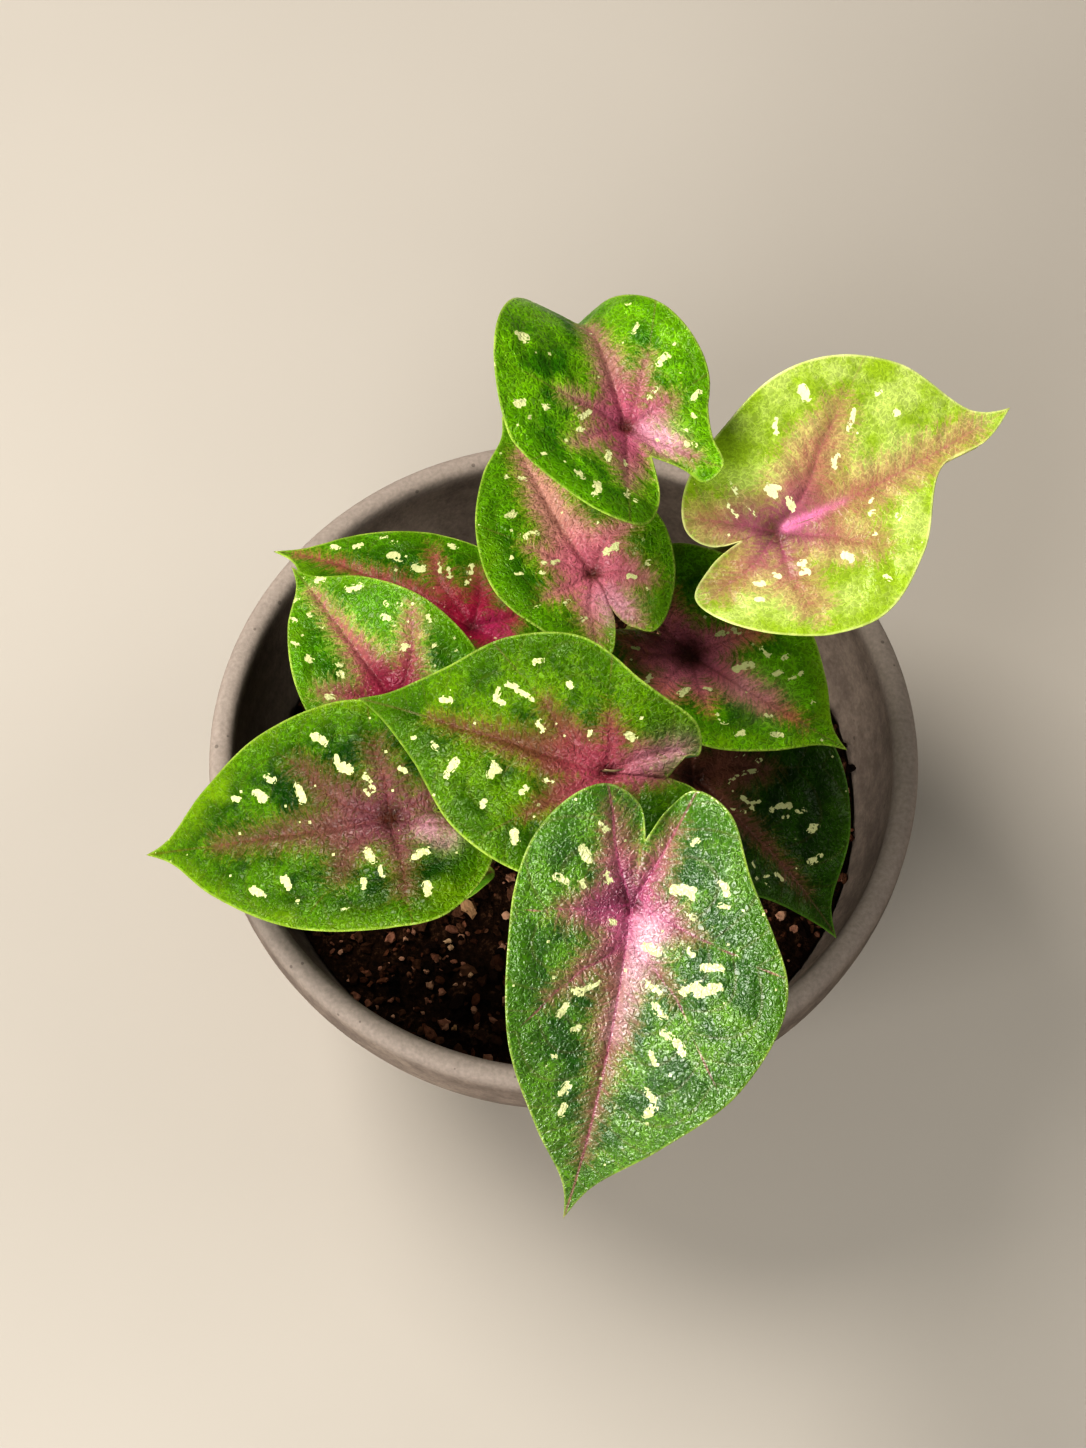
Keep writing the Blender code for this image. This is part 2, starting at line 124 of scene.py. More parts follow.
def evenTurns(count):  # angles once round in equal steps
    return fullTurn * np.arange(count) / count


def roundPoints(radius, turn, height):  # points at a radius and a turn about Z, and at a height
    return np.stack(np.broadcast_arrays(radius * np.cos(turn), radius * np.sin(turn), height + 0 * turn), -1)


def stripFaces(rows, sides):
    # Quads between rows of points that each go once round, and fans to the two poles at its ends,
    # which are the points after the rows.
    k, poles = np.arange(sides), rows * sides
    after, last = (k + 1) % sides, (rows - 1) * sides
    row = np.arange(rows - 1)[:, None] * sides
    quads = np.stack([row + k, row + after, row + sides + after, row + sides + k], -1).reshape(-1, 4)
    return [quads, np.stack([np.full(sides, poles), after, k], -1),
            np.stack([last + k, last + after, np.full(sides, poles + 1)], -1)]


def setPiece(piece, node):
    if node:
        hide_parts(node)
    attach(piece, "root")
    return piece


# Bowl: a hand-thrown bowl of grey stoneware clay, fired without glaze. Lengths in mm.
bowl = dict(radius=80, height=80, wall=5.6, floor=7, shoulder=65, slope=30, rimEdge=2.6, footEdge=2,
            innerCorner=3, drainHoles=3, drainRadius=4, drainCircle=24, drainTurn=97,
            sides=256, unevenness=0.22, throwingLines=0.07, lineSpacing=3.1,
            # The rim's colour over its top few millimetres is a painted highlight, paler where the top faces
            # the light.
            litRimColour="#9c9188", sideColour="#8a7d72", cloudColour="#6f635a", speckColour="#453b33",
            litRimDepth=5, cloudSize=28, mottleSize=4.5, speckSpacing=2.6, grainSize=0.9, poreDepth=0.2)


def outsideRadius(height):
    # The bowl's outside at a height: an arc below the rim and a straight slope under it.
    lean = math.radians(bowl["slope"])
    arcTop = bowl["height"] - bowl["rimEdge"]
    arcBottom = arcTop - bowl["shoulder"] * math.sin(lean)
    middle = bowl["radius"] - bowl["shoulder"]
    down = np.minimum(arcTop, height) - arcTop
    arc = middle + np.sqrt(np.maximum(0, bowl["shoulder"] ** 2 - down ** 2))
    straight = middle + bowl["shoulder"] * math.cos(lean) - (arcBottom - height) * math.tan(lean)
    return np.where(height > arcBottom, arc, straight)


def insideRadius(height):  # the outside set in by the wall's slanted thickness
    lean = np.arctan2(outsideRadius(height + 1) - outsideRadius(height - 1), 2)
    return outsideRadius(height) - bowl["wall"] / np.cos(lean)


def bowlSection():
    # The section as (radius, height): under the foot, up the outside, over the rim, down the
    # inside and over the floor. Its corners are quarter turns, and fans close the middle.
    edge, foot, top, floor = bowl["rimEdge"], bowl["footEdge"], bowl["height"], bowl["floor"]
    inner, lean = bowl["radius"] - bowl["wall"], math.radians(bowl["slope"])
    footRadius = float(outsideRadius(0))
    hub = footRadius * 0.12
    floorRadius = float(insideRadius(floor)) - bowl["innerCorner"]
    under = [(r, 0.0) for r in np.linspace(hub, footRadius - foot * 1.2, 9)]
    corner = [(footRadius - foot * 0.62 + foot * math.cos(t), foot + foot * math.sin(t))
              for t in np.linspace(-math.pi / 2, -lean, 7)]
    outer = [(float(outsideRadius(z)), z) for z in np.linspace(foot * 1.2, top - edge, 44)]
    rimOut = [(bowl["radius"] - edge * (1 - math.cos(t)), top - edge * (1 - math.sin(t)))
              for t in np.linspace(0.12, math.pi / 2, 8)]
    rimIn = [(inner + edge * 0.9 * (1 - math.cos(t)), top - edge * 0.9 * (1 - math.sin(t)))
             for t in np.linspace(math.pi / 2, 0, 8)]
    down = [(float(insideRadius(z)), z)
            for z in np.linspace(top - 2.6 * edge, floor + bowl["innerCorner"], 30)]
    base = [(r, floor) for r in np.linspace(floorRadius, hub, 7)]
    return np.array(under + corner + outer + rimOut + rimIn + down + base)


def stoneware():
    # Grey stoneware with fine grog, wiped with a sponge before firing: a matt warm grey, cloudy
    # where the fire met it unevenly, with a painted highlight that makes the top of the rim paler, and with
    # small dark specks.
    made, tree = newFinish("unglazed stoneware", 0.86, 1.5)
    spot = add(tree, "TexCoord", {}, out="Object")
    height = add(tree, "SeparateXYZ", {"Vector": spot}, out="Z")
    clouds = add(tree, "TexNoise", {"Vector": spot, "Scale": 1 / (bowl["cloudSize"] * mm), "Detail": 5.0,
                 "Roughness": 0.6})
    mottle = add(tree, "TexNoise", {"Vector": spot, "Scale": 1 / (bowl["mottleSize"] * mm), "Detail": 4.0,
                 "Roughness": 0.7})
    fine = add(tree, "TexNoise", {"Vector": spot, "Scale": 1 / (bowl["grainSize"] * mm), "Detail": 3.0})
    both = add(tree, "Math", (clouds, mottle), operation="ADD")
    cloudy = add(tree, "MapRange", (both, 0.82, 1.18))
    # Painted highlight: the top few millimetres of the rim are paler, as where they face the light.
    litRim = add(tree, "MapRange", (height, (bowl["height"] - bowl["litRimDepth"]) * mm, bowl["height"] * mm,
               0.0, 0.85), **smooth)
    # Grog specks of about 0.5 mm, a little coarser than real so that they show.
    cells = add(tree, "TexVoronoi", {"Vector": spot, "Scale": 1 / (bowl["speckSpacing"] * mm)}).node
    chance = add(tree, "SeparateColor", {"Color": cells.outputs["Color"]}, out="Red")
    wide = add(tree, "MapRange", (chance, 0.75, 1.0, 0.0, 0.22))
    inSpeck = add(tree, "Math", (wide, cells.outputs["Distance"]), operation="SUBTRACT")
    speck = add(tree, "MapRange", (inSpeck, 0.0, 0.05, 0.0, 0.5))
    grainy = add(tree, "MapRange", (fine, 0.3, 0.7, 0.88, 1.1))
    clay = linear(bowl["cloudColour"])
    for share, over, blend in (
            (cloudy, linear(bowl["sideColour"]), "MIX"), (litRim, linear(bowl["litRimColour"]), "MIX"),
            (speck, linear(bowl["speckColour"]), "MIX"), (1.0, grainy, "MULTIPLY")):
        clay = add(tree, "Mix", {0: share, 6: clay, 7: over}, blend_type=blend, **ofColours)
    # Pores and grog stand out by a tenth of a millimetre.
    rough = add(tree, "Math", (fine, inSpeck), operation="ADD")
    return dress(made, clay, rough, 0.5, bowl["poreDepth"])


def clayBowl():
    # The section turned about Z: radius times the cosine and sine of the turn. Slow waves of the
    # turn and height make it uneven, and fine waves of the height are lines from throwing.
    section, turn, uneven = bowlSection(), evenTurns(bowl["sides"]), bowl["unevenness"]
    radius, height = section[:, :1], section[:, 1:]
    free = np.clip(height / 6, 0, 1) * (radius > outsideRadius(0) * 0.9)      # the foot stays flat and true
    wave = (np.sin(2 * turn + 0.7) * np.cos(height / 31) + 0.5 * np.sin(3 * turn + height / 17 + 2)
            + 0.3 * np.sin(7 * turn - height / 11)) * uneven / 1.8
    lines = (np.sin(height * fullTurn / bowl["lineSpacing"] + turn) * bowl["throwingLines"]
             * (height < bowl["height"] - 6))
    points = roundPoints(radius + (wave + lines - uneven * 0.6) * free, turn, height)
    points = np.concatenate([points.reshape(-1, 3), [(0, 0, 0), (0, 0, bowl["floor"])]]) * mm
    piece = newPiece("clayBowl", points, stripFaces(len(section), bowl["sides"]), [stoneware()])
    # Drain holes: round cutters, taken out of the base and then removed.
    cutterBottom, cutterTop, cutterSides = -10, 16, 32
    for k in range(bowl["drainHoles"]):
        place = math.radians(bowl["drainTurn"]) + fullTurn * k / bowl["drainHoles"]
        middle = bowl["drainCircle"] * np.array([math.cos(place), math.sin(place), 0])
        ring = roundPoints(bowl["drainRadius"], evenTurns(cutterSides), 0)
        ends = np.array([(0, 0, cutterBottom), (0, 0, cutterTop)])
        tube = (np.concatenate([ring + ends[0], ring + ends[1], ends]) + middle) * mm
        cutter = newPiece(f"drain{k}", tube, stripFaces(2, cutterSides), [])
        step = piece.modifiers.new("drain", "BOOLEAN")
        step.object, step.operation, step.solver = cutter, "DIFFERENCE", "EXACT"
        bpy.context.view_layer.update()
        cutMesh = bpy.data.meshes.new_from_object(piece.evaluated_get(bpy.context.evaluated_depsgraph_get()))
        piece.modifiers.clear()
        piece.data = cutMesh
        bpy.data.objects.remove(cutter, do_unlink=True)
    piece.data.set_sharp_from_angle(angle=math.radians(50))
    return setPiece(piece, "pot")


# Soil: moist potting mix of peat and bark. Lengths in mm.
soil = dict(edgeHeight=50, dome=7, lumps=0.9, rings=150, sides=240, gap=0.3,
            mounds=((5.2, 0.85), (2.6, 0.65), (1.3, 0.4)),   # cell size and height
            colours=((0.0, "#140d09"), (0.55, "#3a281c"), (1.0, "#80604a")),      # from wet to dry
            patchSize=7, crumbSize=1.1, seed=11)


def soilTop(x, y):
    # Height of the soil at a place: a low dome with lumps made of crossed waves.
    share = np.minimum(1, np.hypot(x, y) / float(insideRadius(soil["edgeHeight"])))
    lumps = (np.sin(0.31 * x + 1.3) * np.sin(0.27 * y + 0.4) + 0.6 * np.sin(0.52 * x - 0.41 * y)
             + 0.5 * np.sin(0.64 * y + 0.38 * x + 2.0))
    return (soil["edgeHeight"] + soil["dome"] * (1 - share ** 2)
            + soil["lumps"] * 0.5 * lumps * (1 - share ** 6))


def scatter(i, j, seed):  # a repeatable number from 0 to 1 for whole numbers i and j
    value = np.sin(i * 127.1 + j * 311.7 + seed * 74.7) * 43758.5453
    return value - np.floor(value)


def cellMounds(x, y, cell, seed):
    # One round mound in each cell of a square grid, moved about in its cell: its height falls
    # with the square of the distance from the mound's middle, and the highest one counts.
    best = np.zeros_like(x)
    column, line = np.floor(x / cell), np.floor(y / cell)
    for across in (-1, 0, 1):
        for along in (-1, 0, 1):
            i, j = column + across, line + along
            awayX = (i + 0.15 + 0.7 * scatter(i, j, seed)) * cell - x
            awayY = (j + 0.15 + 0.7 * scatter(i, j, seed + 5)) * cell - y
            size = cell * (0.4 + 0.45 * scatter(i, j, seed + 9))
            best = np.maximum(best, (1 - (awayX ** 2 + awayY ** 2) / size ** 2) * size / cell)
    return best


def soilSurface(x, y):  # the soil's height with its crumbly mounds, which are lower near the clay
    fromClay = np.clip((float(insideRadius(soil["edgeHeight"])) - np.hypot(x, y)) / 5, 0.25, 1)
    rise = sum(high * (cellMounds(x, y, cell, soil["seed"] + n) - 0.3)
               for n, (cell, high) in enumerate(soil["mounds"]))
    return soilTop(x, y) + rise * fromClay


def pottingMix():
    # Moist peat with composted bark: nearly black brown and matt, with drier brown crumbs on top
    # and a faint wet shine in places.
    made, tree = newFinish("moist potting mix", 0.95, 1.4, specular=0.08)
    spot = add(tree, "TexCoord", {}, out="Object")
    broad = add(tree, "TexNoise", {"Vector": spot, "Scale": 1 / (soil["patchSize"] * mm), "Detail": 5.0,
                "Roughness": 0.65})
    crumb = add(tree, "TexNoise", {"Vector": spot, "Scale": 1 / (soil["crumbSize"] * mm), "Detail": 4.0,
                "Roughness": 0.7})
    both = add(tree, "Math", (broad, crumb), operation="ADD")
    amount = add(tree, "MapRange", (both, 0.75, 1.35))
    shade = add(tree, "ValToRGB", {"Fac": amount}, stops=soil["colours"])
    wet = add(tree, "MapRange", (broad, 0.4, 0.7, 0.85))
    tree.links.new(wet, tree.nodes["Principled BSDF"].inputs["Roughness"])
    return dress(made, shade, crumb, 0.9, soil["crumbSize"])


def soilBed():
    # The top is a height over a polar grid; then the sides follow the bowl's inside down.
    sides, gap, low = soil["sides"], soil["gap"], bowl["floor"] + soil["gap"]
    turn = evenTurns(sides)
    radii = np.linspace(0, float(insideRadius(soil["edgeHeight"])) - 2 * gap, soil["rings"] + 1)[1:, None]
    top = roundPoints(radii, turn, soilSurface(radii * np.cos(turn), radii * np.sin(turn)))
    heights = np.linspace(soil["edgeHeight"] - 1.5, low + bowl["innerCorner"], 8)[:, None]
    wall = insideRadius(heights) - 2 * gap
    base = roundPoints(wall[-1:] - bowl["innerCorner"], turn, low)
    grid = np.concatenate([top, roundPoints(wall, turn, heights), base])[::-1]      # from the base up
    centre = soilSurface(np.zeros(1), np.zeros(1))[0]
    points = np.concatenate([grid.reshape(-1, 3), [(0, 0, low), (0, 0, centre)]]) * mm
    piece = newPiece("soilBed", points, stripFaces(len(grid), sides), [pottingMix()])
    return setPiece(piece, "soil")


# Loose bits on the soil: size is their range in mm, sink how deep they sit as a share of their size,
# spread how far out they lie, grain their finest texture in mm, and placed has bits put where they
# show, as (x, y, size).
looseBits = dict(
    soilCrumbs=dict(count=1100, size=(0.9, 2.9), flat=0.75, stretch=1.25, sink=0.25, seed=21, spread=67,
                    finish="peat crumbs", roughness=0.85, grain=0.8,
                    colours=("#140d09", "#2c1c13", "#4c3324", "#7a5844")),
    barkBits=dict(count=1700, size=(0.6, 2.4), flat=0.7, stretch=1.35, sink=0.15, seed=22, spread=67,
                  finish="composted bark", roughness=0.8, grain=0.7,
                  colours=("#3c2418", "#6e4834", "#a07460", "#cfa68c")),
    perliteGrains=dict(count=12, size=(0.7, 1.5), flat=0.9, stretch=1.1, sink=-0.05, seed=23, spread=66,
                       finish="expanded perlite", roughness=0.7, grain=0.5,
                       colours=("#c9a688", "#b8926e", "#d2b494", "#c09c7a"),
                       placed=((-21.5, -28.7, 3.2), (-26, -36, 1.5), (-21.0, -44.0, 1.3))))


def bitFinish(spec):
    # Crumbled matter: each bit has its own shade out of four, and a fine broken surface.
    made, tree = newFinish(spec["finish"], spec["roughness"], 1.45, specular=0.12)
    spot = add(tree, "TexCoord", {}, out="Object")
    tone = add(tree, "Attribute", {}, out="Fac", attribute_name="tone")
    rough = add(tree, "TexNoise", {"Vector": spot, "Scale": 1 / (spec["grain"] * mm), "Detail": 3.0})
    mixed = add(tree, "Math", (rough, 0.35, tone), operation="MULTIPLY_ADD")
    shifted = add(tree, "Math", (mixed, 0.18), operation="SUBTRACT")
    stops = tuple(zip((0.0, 0.35, 0.7, 1.0), spec["colours"]))
    shade = add(tree, "ValToRGB", {"Fac": shifted}, stops=stops)
    return dress(made, shade, rough, 0.8, 0.4)


def looseBit(name, spec):
    # Each bit is a ball of a few rings and two poles, pulled out of round by its own three waves,
    # flattened, turned about Z and set on the soil.
    ballRings, ballSides = 4, 8
    draw = np.random.default_rng(spec["seed"])
    count, (smallest, largest) = spec["count"], spec["size"]
    away = spec["spread"] * np.sqrt(draw.random(count))
    around = fullTurn * draw.random(count)
    x, y = away * np.cos(around), away * np.sin(around)
    size = smallest + (largest - smallest) * draw.random(count) ** 2.2      # most are small
    for k, (placeX, placeY, placeSize) in enumerate(spec.get("placed", ())):
        x[k], y[k], size[k] = placeX, placeY, placeSize
    feet = np.array([stalkFoot(one) for one in leaves.values()])
    clear = np.hypot(x[:, None] - feet[:, 0], y[:, None] - feet[:, 1]).min(1) > 2.2 + size / 2
    x, y, size = x[clear], y[clear], size[clear]
    count = len(x)
    tilt = np.linspace(-1, 1, ballRings + 2)[1:-1, None] * math.pi / 2 * 0.92
    ball = roundPoints(np.cos(tilt), evenTurns(ballSides), np.sin(tilt)).reshape(-1, 3)
    ball = np.concatenate([ball, [(0, 0, -1), (0, 0, 1)]])
    waves = draw.normal(0, 2.6, (count, 3, 3))
    shift = 6.28 * draw.random((count, 3))
    bulge = 1 + 0.22 * np.sin(np.einsum("pi,cwi->cpw", ball, waves) + shift[:, None]).sum(-1)
    shape = ball * bulge[..., None] * size[:, None, None] / 2
    shape[..., 0] *= 1 + (spec["stretch"] - 1) * 2 * draw.random(count)[:, None]
    shape[..., 2] *= spec["flat"]
    lean = draw.normal(0, 0.3, (count, 2))
    shape[..., 2] += lean[:, :1] * shape[..., 0] + lean[:, 1:] * shape[..., 1]
    spin = fullTurn * draw.random(count)[:, None]
    turnedX = shape[..., 0] * np.cos(spin) - shape[..., 1] * np.sin(spin) + x[:, None]
    turnedY = shape[..., 0] * np.sin(spin) + shape[..., 1] * np.cos(spin) + y[:, None]
    seat = soilSurface(x, y) + size * spec["flat"] * (0.5 - spec["sink"])
    points = np.stack([turnedX, turnedY, shape[..., 2] + seat[:, None]], -1)
    step = (np.arange(count) * len(ball))[:, None, None]
    groups = [(group[None] + step).reshape(-1, group.shape[1]) for group in stripFaces(ballRings, ballSides)]
    tone = np.repeat(draw.random(count), len(ball))
    piece = newPiece(name, points.reshape(-1, 3) * mm, groups, [bitFinish(spec)], fields=dict(tone=tone))
    piece.data.shade_flat()      # crumbs break along small flat faces
    return setPiece(piece, None)


# Leaves. Lengths in mm, angles in degrees, and places on a blade as (along the midrib, across it).
# Stance: at is the stalk's end; heading, pitch and roll turn the blade; foot is where the stalk
# leaves the soil, as an angle and a distance, and bow and lean bend it.
# Outline: tip and notch are the lengths to the tip and to the notch, point is the fullness near the
# tip, and left and right are the halves, in the order of halfNames.
# Bends: droop, with its power, and lobeDroop let the tip and the lobes down; tipFold lifts the
# halves more towards the tip; bend curves the midrib; lobeTurn swings the lobes; phase shifts the
# waves; ridge is the midrib's height, below nothing where it is a groove.
# Markings: arms are the rosy veins as (along, across, half width), the midrib first; flecks are
# cream strokes as (from along, across, to along, across, half width); the bell curves of painted light
# are painted highlights, or painted shade below nothing, as (along, across, radius, amount); look is what
# differs from leafLook.
leafForm = dict(droopPower=1.5, tipFold=0, bend=0, lobeTurn=0, point=1.15, bow=(0, 0), lean=0.3, ridge=-0.5,
                paintedLight=(), slot="leaf_green")
halfNames = ("width", "lobe", "reach", "full", "cut", "widest", "shoulder", "fold", "curl")
leaves = {}
leaves["front"] = dict(
    at=(12.5, -71, 157), heading=261.5, pitch=-37, roll=1, tip=70, notch=16.5, droop=25, lobeDroop=11.5,
    bend=-0.09, lobeTurn=-0.08, point=1.05, foot=(278, 13), bow=(-12, 0), lean=-0.25, phase=2.5,
    left=(34, 27, 0.22, 0.65, 0.09, 0.12, 0.45, 17, 6),
    right=(23.5, 26.5, 0.43, 0.96, 0.11, 0.09, 0.47, 17.5, 8),
    arms=[[(-2.9, 0, 5), (8.8, 0, 4.6), (24.4, 0, 2.9), (40.8, 0, 0.8), (53.2, 0, 0.3)],
          [(-2.9, 0, 3.3), (-11.8, -4.6, 3.1), (-20.6, -7.4, 1.5)],
          [(-2.9, 0, 2.9), (-11.1, 3, 2.5), (-19.2, 5.5, 1)],
          [(-2.9, 0, 5.2), (-1.2, 7, 3.4), (0.8, 14, 0.7)],
          [(4.2, 0.7, 3.7), (9, 6.4, 1), (13.4, 11.4, 0.3)],
          [(-2.9, 0, 4.8), (-1.6, -7, 4.2), (-1, -13, 1.4)],
          [(4.4, -0.8, 2.9), (10.8, -7.5, 1.7), (17, -13.5, 0.6)]],
    flecks=[(-13.3, -12, -11.2, -10.5, 1), (-18.9, -9.5, -17.4, -8, 0.6), (-7.3, -16.3, -6.2, -13.9, 0.8),
            (-6.9, -11.2, -6, -10.3, 0.6), (-8.9, -6.5, -7, -5.3, 0.7), (0.6, -3.7, 1.3, -2.8, 0.7),
            (-7.7, 8, -8.2, 11.6, 1.1), (-8.3, 11.2, -6.8, 12, 0.8), (-10.5, 17.2, -8.8, 18.6, 1),
            (-6, 17.7, -6.6, 19.4, 0.7), (-3.1, 12.1, -2.9, 13.3, 0.6), (4.7, 3.8, 5.6, 7.2, 0.9),
            (3.6, 13.3, 4.5, 14, 0.7), (6.6, 16.6, 5.9, 20.1, 0.9), (12.1, 13.1, 10.2, 16.1, 1),
            (11.8, 16, 9.7, 20.1, 1.2), (12.4, 5.8, 13.6, 8.5, 0.9), (16.5, 7.8, 18, 10.2, 0.9),
            (21.7, 10.7, 22.3, 13.2, 0.9), (22.3, 13.2, 24.7, 15.4, 1), (26.3, 9.2, 28.4, 10.4, 0.8),
            (34.6, 9.4, 35.9, 11.9, 0.9), (39.5, 10.7, 38, 12, 1), (15.5, -9.1, 16.3, -7.6, 0.8),
            (15.5, -7.6, 13.7, -4.6, 0.7), (21.1, -11.3, 18.9, -10.1, 0.8), (24.2, -8.2, 23.6, -6.9, 0.8),
            (29.5, -11, 30.1, -10.2, 0.5), (37.9, -7.4, 36.2, -6.7, 0.9), (42.6, -6.7, 40.9, -6.4, 0.9),
            (-17.3, 9.9, -18.5, 10.6, 0.7)],
    look=dict(dark="#2c5c0a", mid="#568018", bright="#528204", dusky="#9c6c62", rose="#b65a80",
              heart="#4a1420", halo="#8a9444", glowColour="#f2c4d2", haloAmount=0.5, heartSize=3,
              veinTint="#b04878", soft=3.2, gloss=0.28, coat=0.9, coatGloss=0.17, shine=0.4, veinShare=0.45,
              wrinkle=0.17, net=0.7),
    paintedLight=[(0.8, 4.6, 3.4, 0.6), (5.5, 3.4, 3.6, 0.55), (11.5, 2, 3.4, 0.45), (18, 1.3, 3, 0.35),
          (-5, -2.2, 3, -0.75), (-9.5, -1.5, 2.6, -0.4), (-2, -6, 3, -0.3), (24, 0.9, 2.4, 0.3),
          (8, -2.4, 3.2, -0.25), (15, -1.8, 3, -0.15)])
leaves["centre"] = dict(
    at=(7, -36, 151), heading=160, pitch=-2.5, roll=-11, tip=57.5, notch=13.5, droop=30, lobeDroop=5.5,
    bend=-0.03, lobeTurn=0.25, point=1.2, foot=(270, 5), bow=(-9, -2), phase=6,
    left=(26, 24.5, 0.51, 0.9, 0.1, 0.14, 0.39, 13, 11),
    right=(25, 18, 0.21, 0.64, 0.18, 0.19, 0.42, 18, 6),
    arms=[[(-1.3, 0, 3.8), (10.6, 0, 4), (23.8, 0, 2.1), (37.7, 0, 0.6)],
          [(-1.3, 0, 3.3), (7.8, -3.9, 3.3), (15.1, -10.1, 0.8)],
          [(-1.3, 0, 2.9), (-0.4, -6.6, 2.9), (1.7, -11.8, 0.6)],
          [(-1.3, 0, 2.9), (-6.9, -3.7, 2.7), (-12.9, -5.6, 0.8)],
          [(-1.3, 0, 2.9), (-8.1, 0, 2.7), (-12.5, 0.3, 1)],
          [(-1.3, 0, 2.9), (4.9, 7.3, 2.9), (11.2, 13.8, 1)]],
    flecks=[(36.7, -4.4, 34.8, -4.5, 0.9), (25.2, -9.4, 25.1, -8.1, 0.8), (25, -7.7, 23.4, -7.2, 0.8),
            (23.4, -11.1, 22, -10.9, 0.7), (22, -10.9, 20.3, -10.5, 0.7), (20.3, -10.5, 17.5, -9.5, 0.7),
            (19.1, -17.3, 18.2, -17.8, 0.8), (11.5, -14.9, 10.9, -14.7, 0.8), (15.1, -5.7, 13.7, -4, 0.7),
            (4.5, -7.1, 4.2, -5.6, 0.6), (-3.3, -8.2, -4.4, -7.8, 0.9), (40.4, 5.4, 39.9, 5.4, 0.7),
            (35.2, 5.3, 34, 6.1, 0.8), (29.5, 11.5, 29.4, 9.3, 0.8), (29.4, 9.3, 28.7, 7.7, 1),
            (20.8, 8.6, 21.2, 6, 0.9), (21.2, 6, 19.5, 6.9, 0.7), (10, 5.6, 8.5, 5.5, 0.6),
            (13.3, 9.8, 12.7, 8.6, 0.8), (20.1, 14.9, 20, 14.1, 0.8), (11.9, 18.6, 10.9, 20.1, 1)],
    look=dict(dark="#2e5400", mid="#5a7e06", bright="#527a04", dusky="#76503a", rose="#a24a5e",
              heart="#6a1830", haloAmount=0.4),
    paintedLight=[(-8, -2.5, 4, 0.3), (-13.5, -5.2, 4, 0.45), (9, 1, 5, -0.15)])
leaves["left"] = dict(
    at=(-39.5, -32, 116), heading=185, pitch=-15, roll=-8.5, tip=58.5, notch=12, droop=31, lobeDroop=14.5,
    bend=-0.09, lobeTurn=0.02, foot=(222, 13), phase=5,
    left=(26, 23.5, 0.41, 0.98, 0.16, -0.02, 0.46, 17, 4.5),
    right=(26.5, 25, 0.5, 0.85, 0.16, 0.09, 0.45, 15.5, 10),
    arms=[[(-2.4, 0, 4.8), (9.9, 0, 4.3), (22.9, 0, 1.5), (37.7, 0, 0.4)],
          [(-2.4, 0, 4.3), (7, -4.3, 3.9), (14.8, -13.7, 1.1)],
          [(-2.4, 0, 3.5), (-2.6, -8, 2.8), (-1.8, -14.6, 1.1)],
          [(-2.4, 0, 3), (-9.2, 2.6, 2), (-15.2, 3.6, 0.9)],
          [(-2.4, 0, 3), (-10.4, -2.3, 2.2), (-13.8, -3.8, 1.3)],
          [(-2.4, 0, 4.3), (6.7, 4.6, 3), (8.9, 11.7, 0.7)],
          [(-2.4, 0, 3), (-4.1, 8.1, 2), (-4.9, 17.9, 0.7)]],
    flecks=[(10.7, -20.1, 9.3, -18.5, 1.1), (7, -14.9, 6.8, -12.8, 0.9), (6.4, -12.8, 4.3, -11.6, 1.1),
            (-6.4, -9.8, -7.1, -9.4, 0.8), (1.4, -9.7, 0.5, -8.1, 0.7), (0.6, -7.6, 0.2, -6.7, 0.7),
            (1.8, -6.5, 1.5, -5.9, 0.7), (22.9, -12.9, 21.8, -12.3, 0.9), (31.3, -9.7, 30.4, -9, 0.9),
            (25.7, -9.8, 24.5, -8.4, 1.2), (16.3, -10, 16, -7.1, 1), (2.9, 7.1, 1.7, 9.6, 1),
            (0.2, 11.5, -0.2, 13.6, 0.5), (-7, 10.6, -8.1, 10.4, 1), (-8.3, 9.8, -9.9, 9.8, 1),
            (-9.3, 17.6, -9.5, 19.7, 1), (3.9, 13.7, 3.9, 15.4, 0.9), (21.5, 10.2, 20.6, 12.7, 1),
            (28.8, 11.7, 26.7, 13.4, 1.1), (18.7, 15.9, 18.3, 16.4, 0.7), (8.7, 19.6, 8.1, 20, 0.7)],
    look=dict(dark="#1a4400", mid="#4e7604", bright="#72960c", dusky="#805450", rose="#864a5c",
              heart="#3a1014", halo="#66701a", heartSize=5, haloAmount=0.6, haloWidth=3, soft=3.8,
              feather=4.6, armShare=0.88, veinTint="#6e3c2c"),
    paintedLight=[(-10.5, 4.5, 3, 0.5), (-14.5, 8, 3, 0.3), (0.5, -1.5, 4.5, -0.3)])
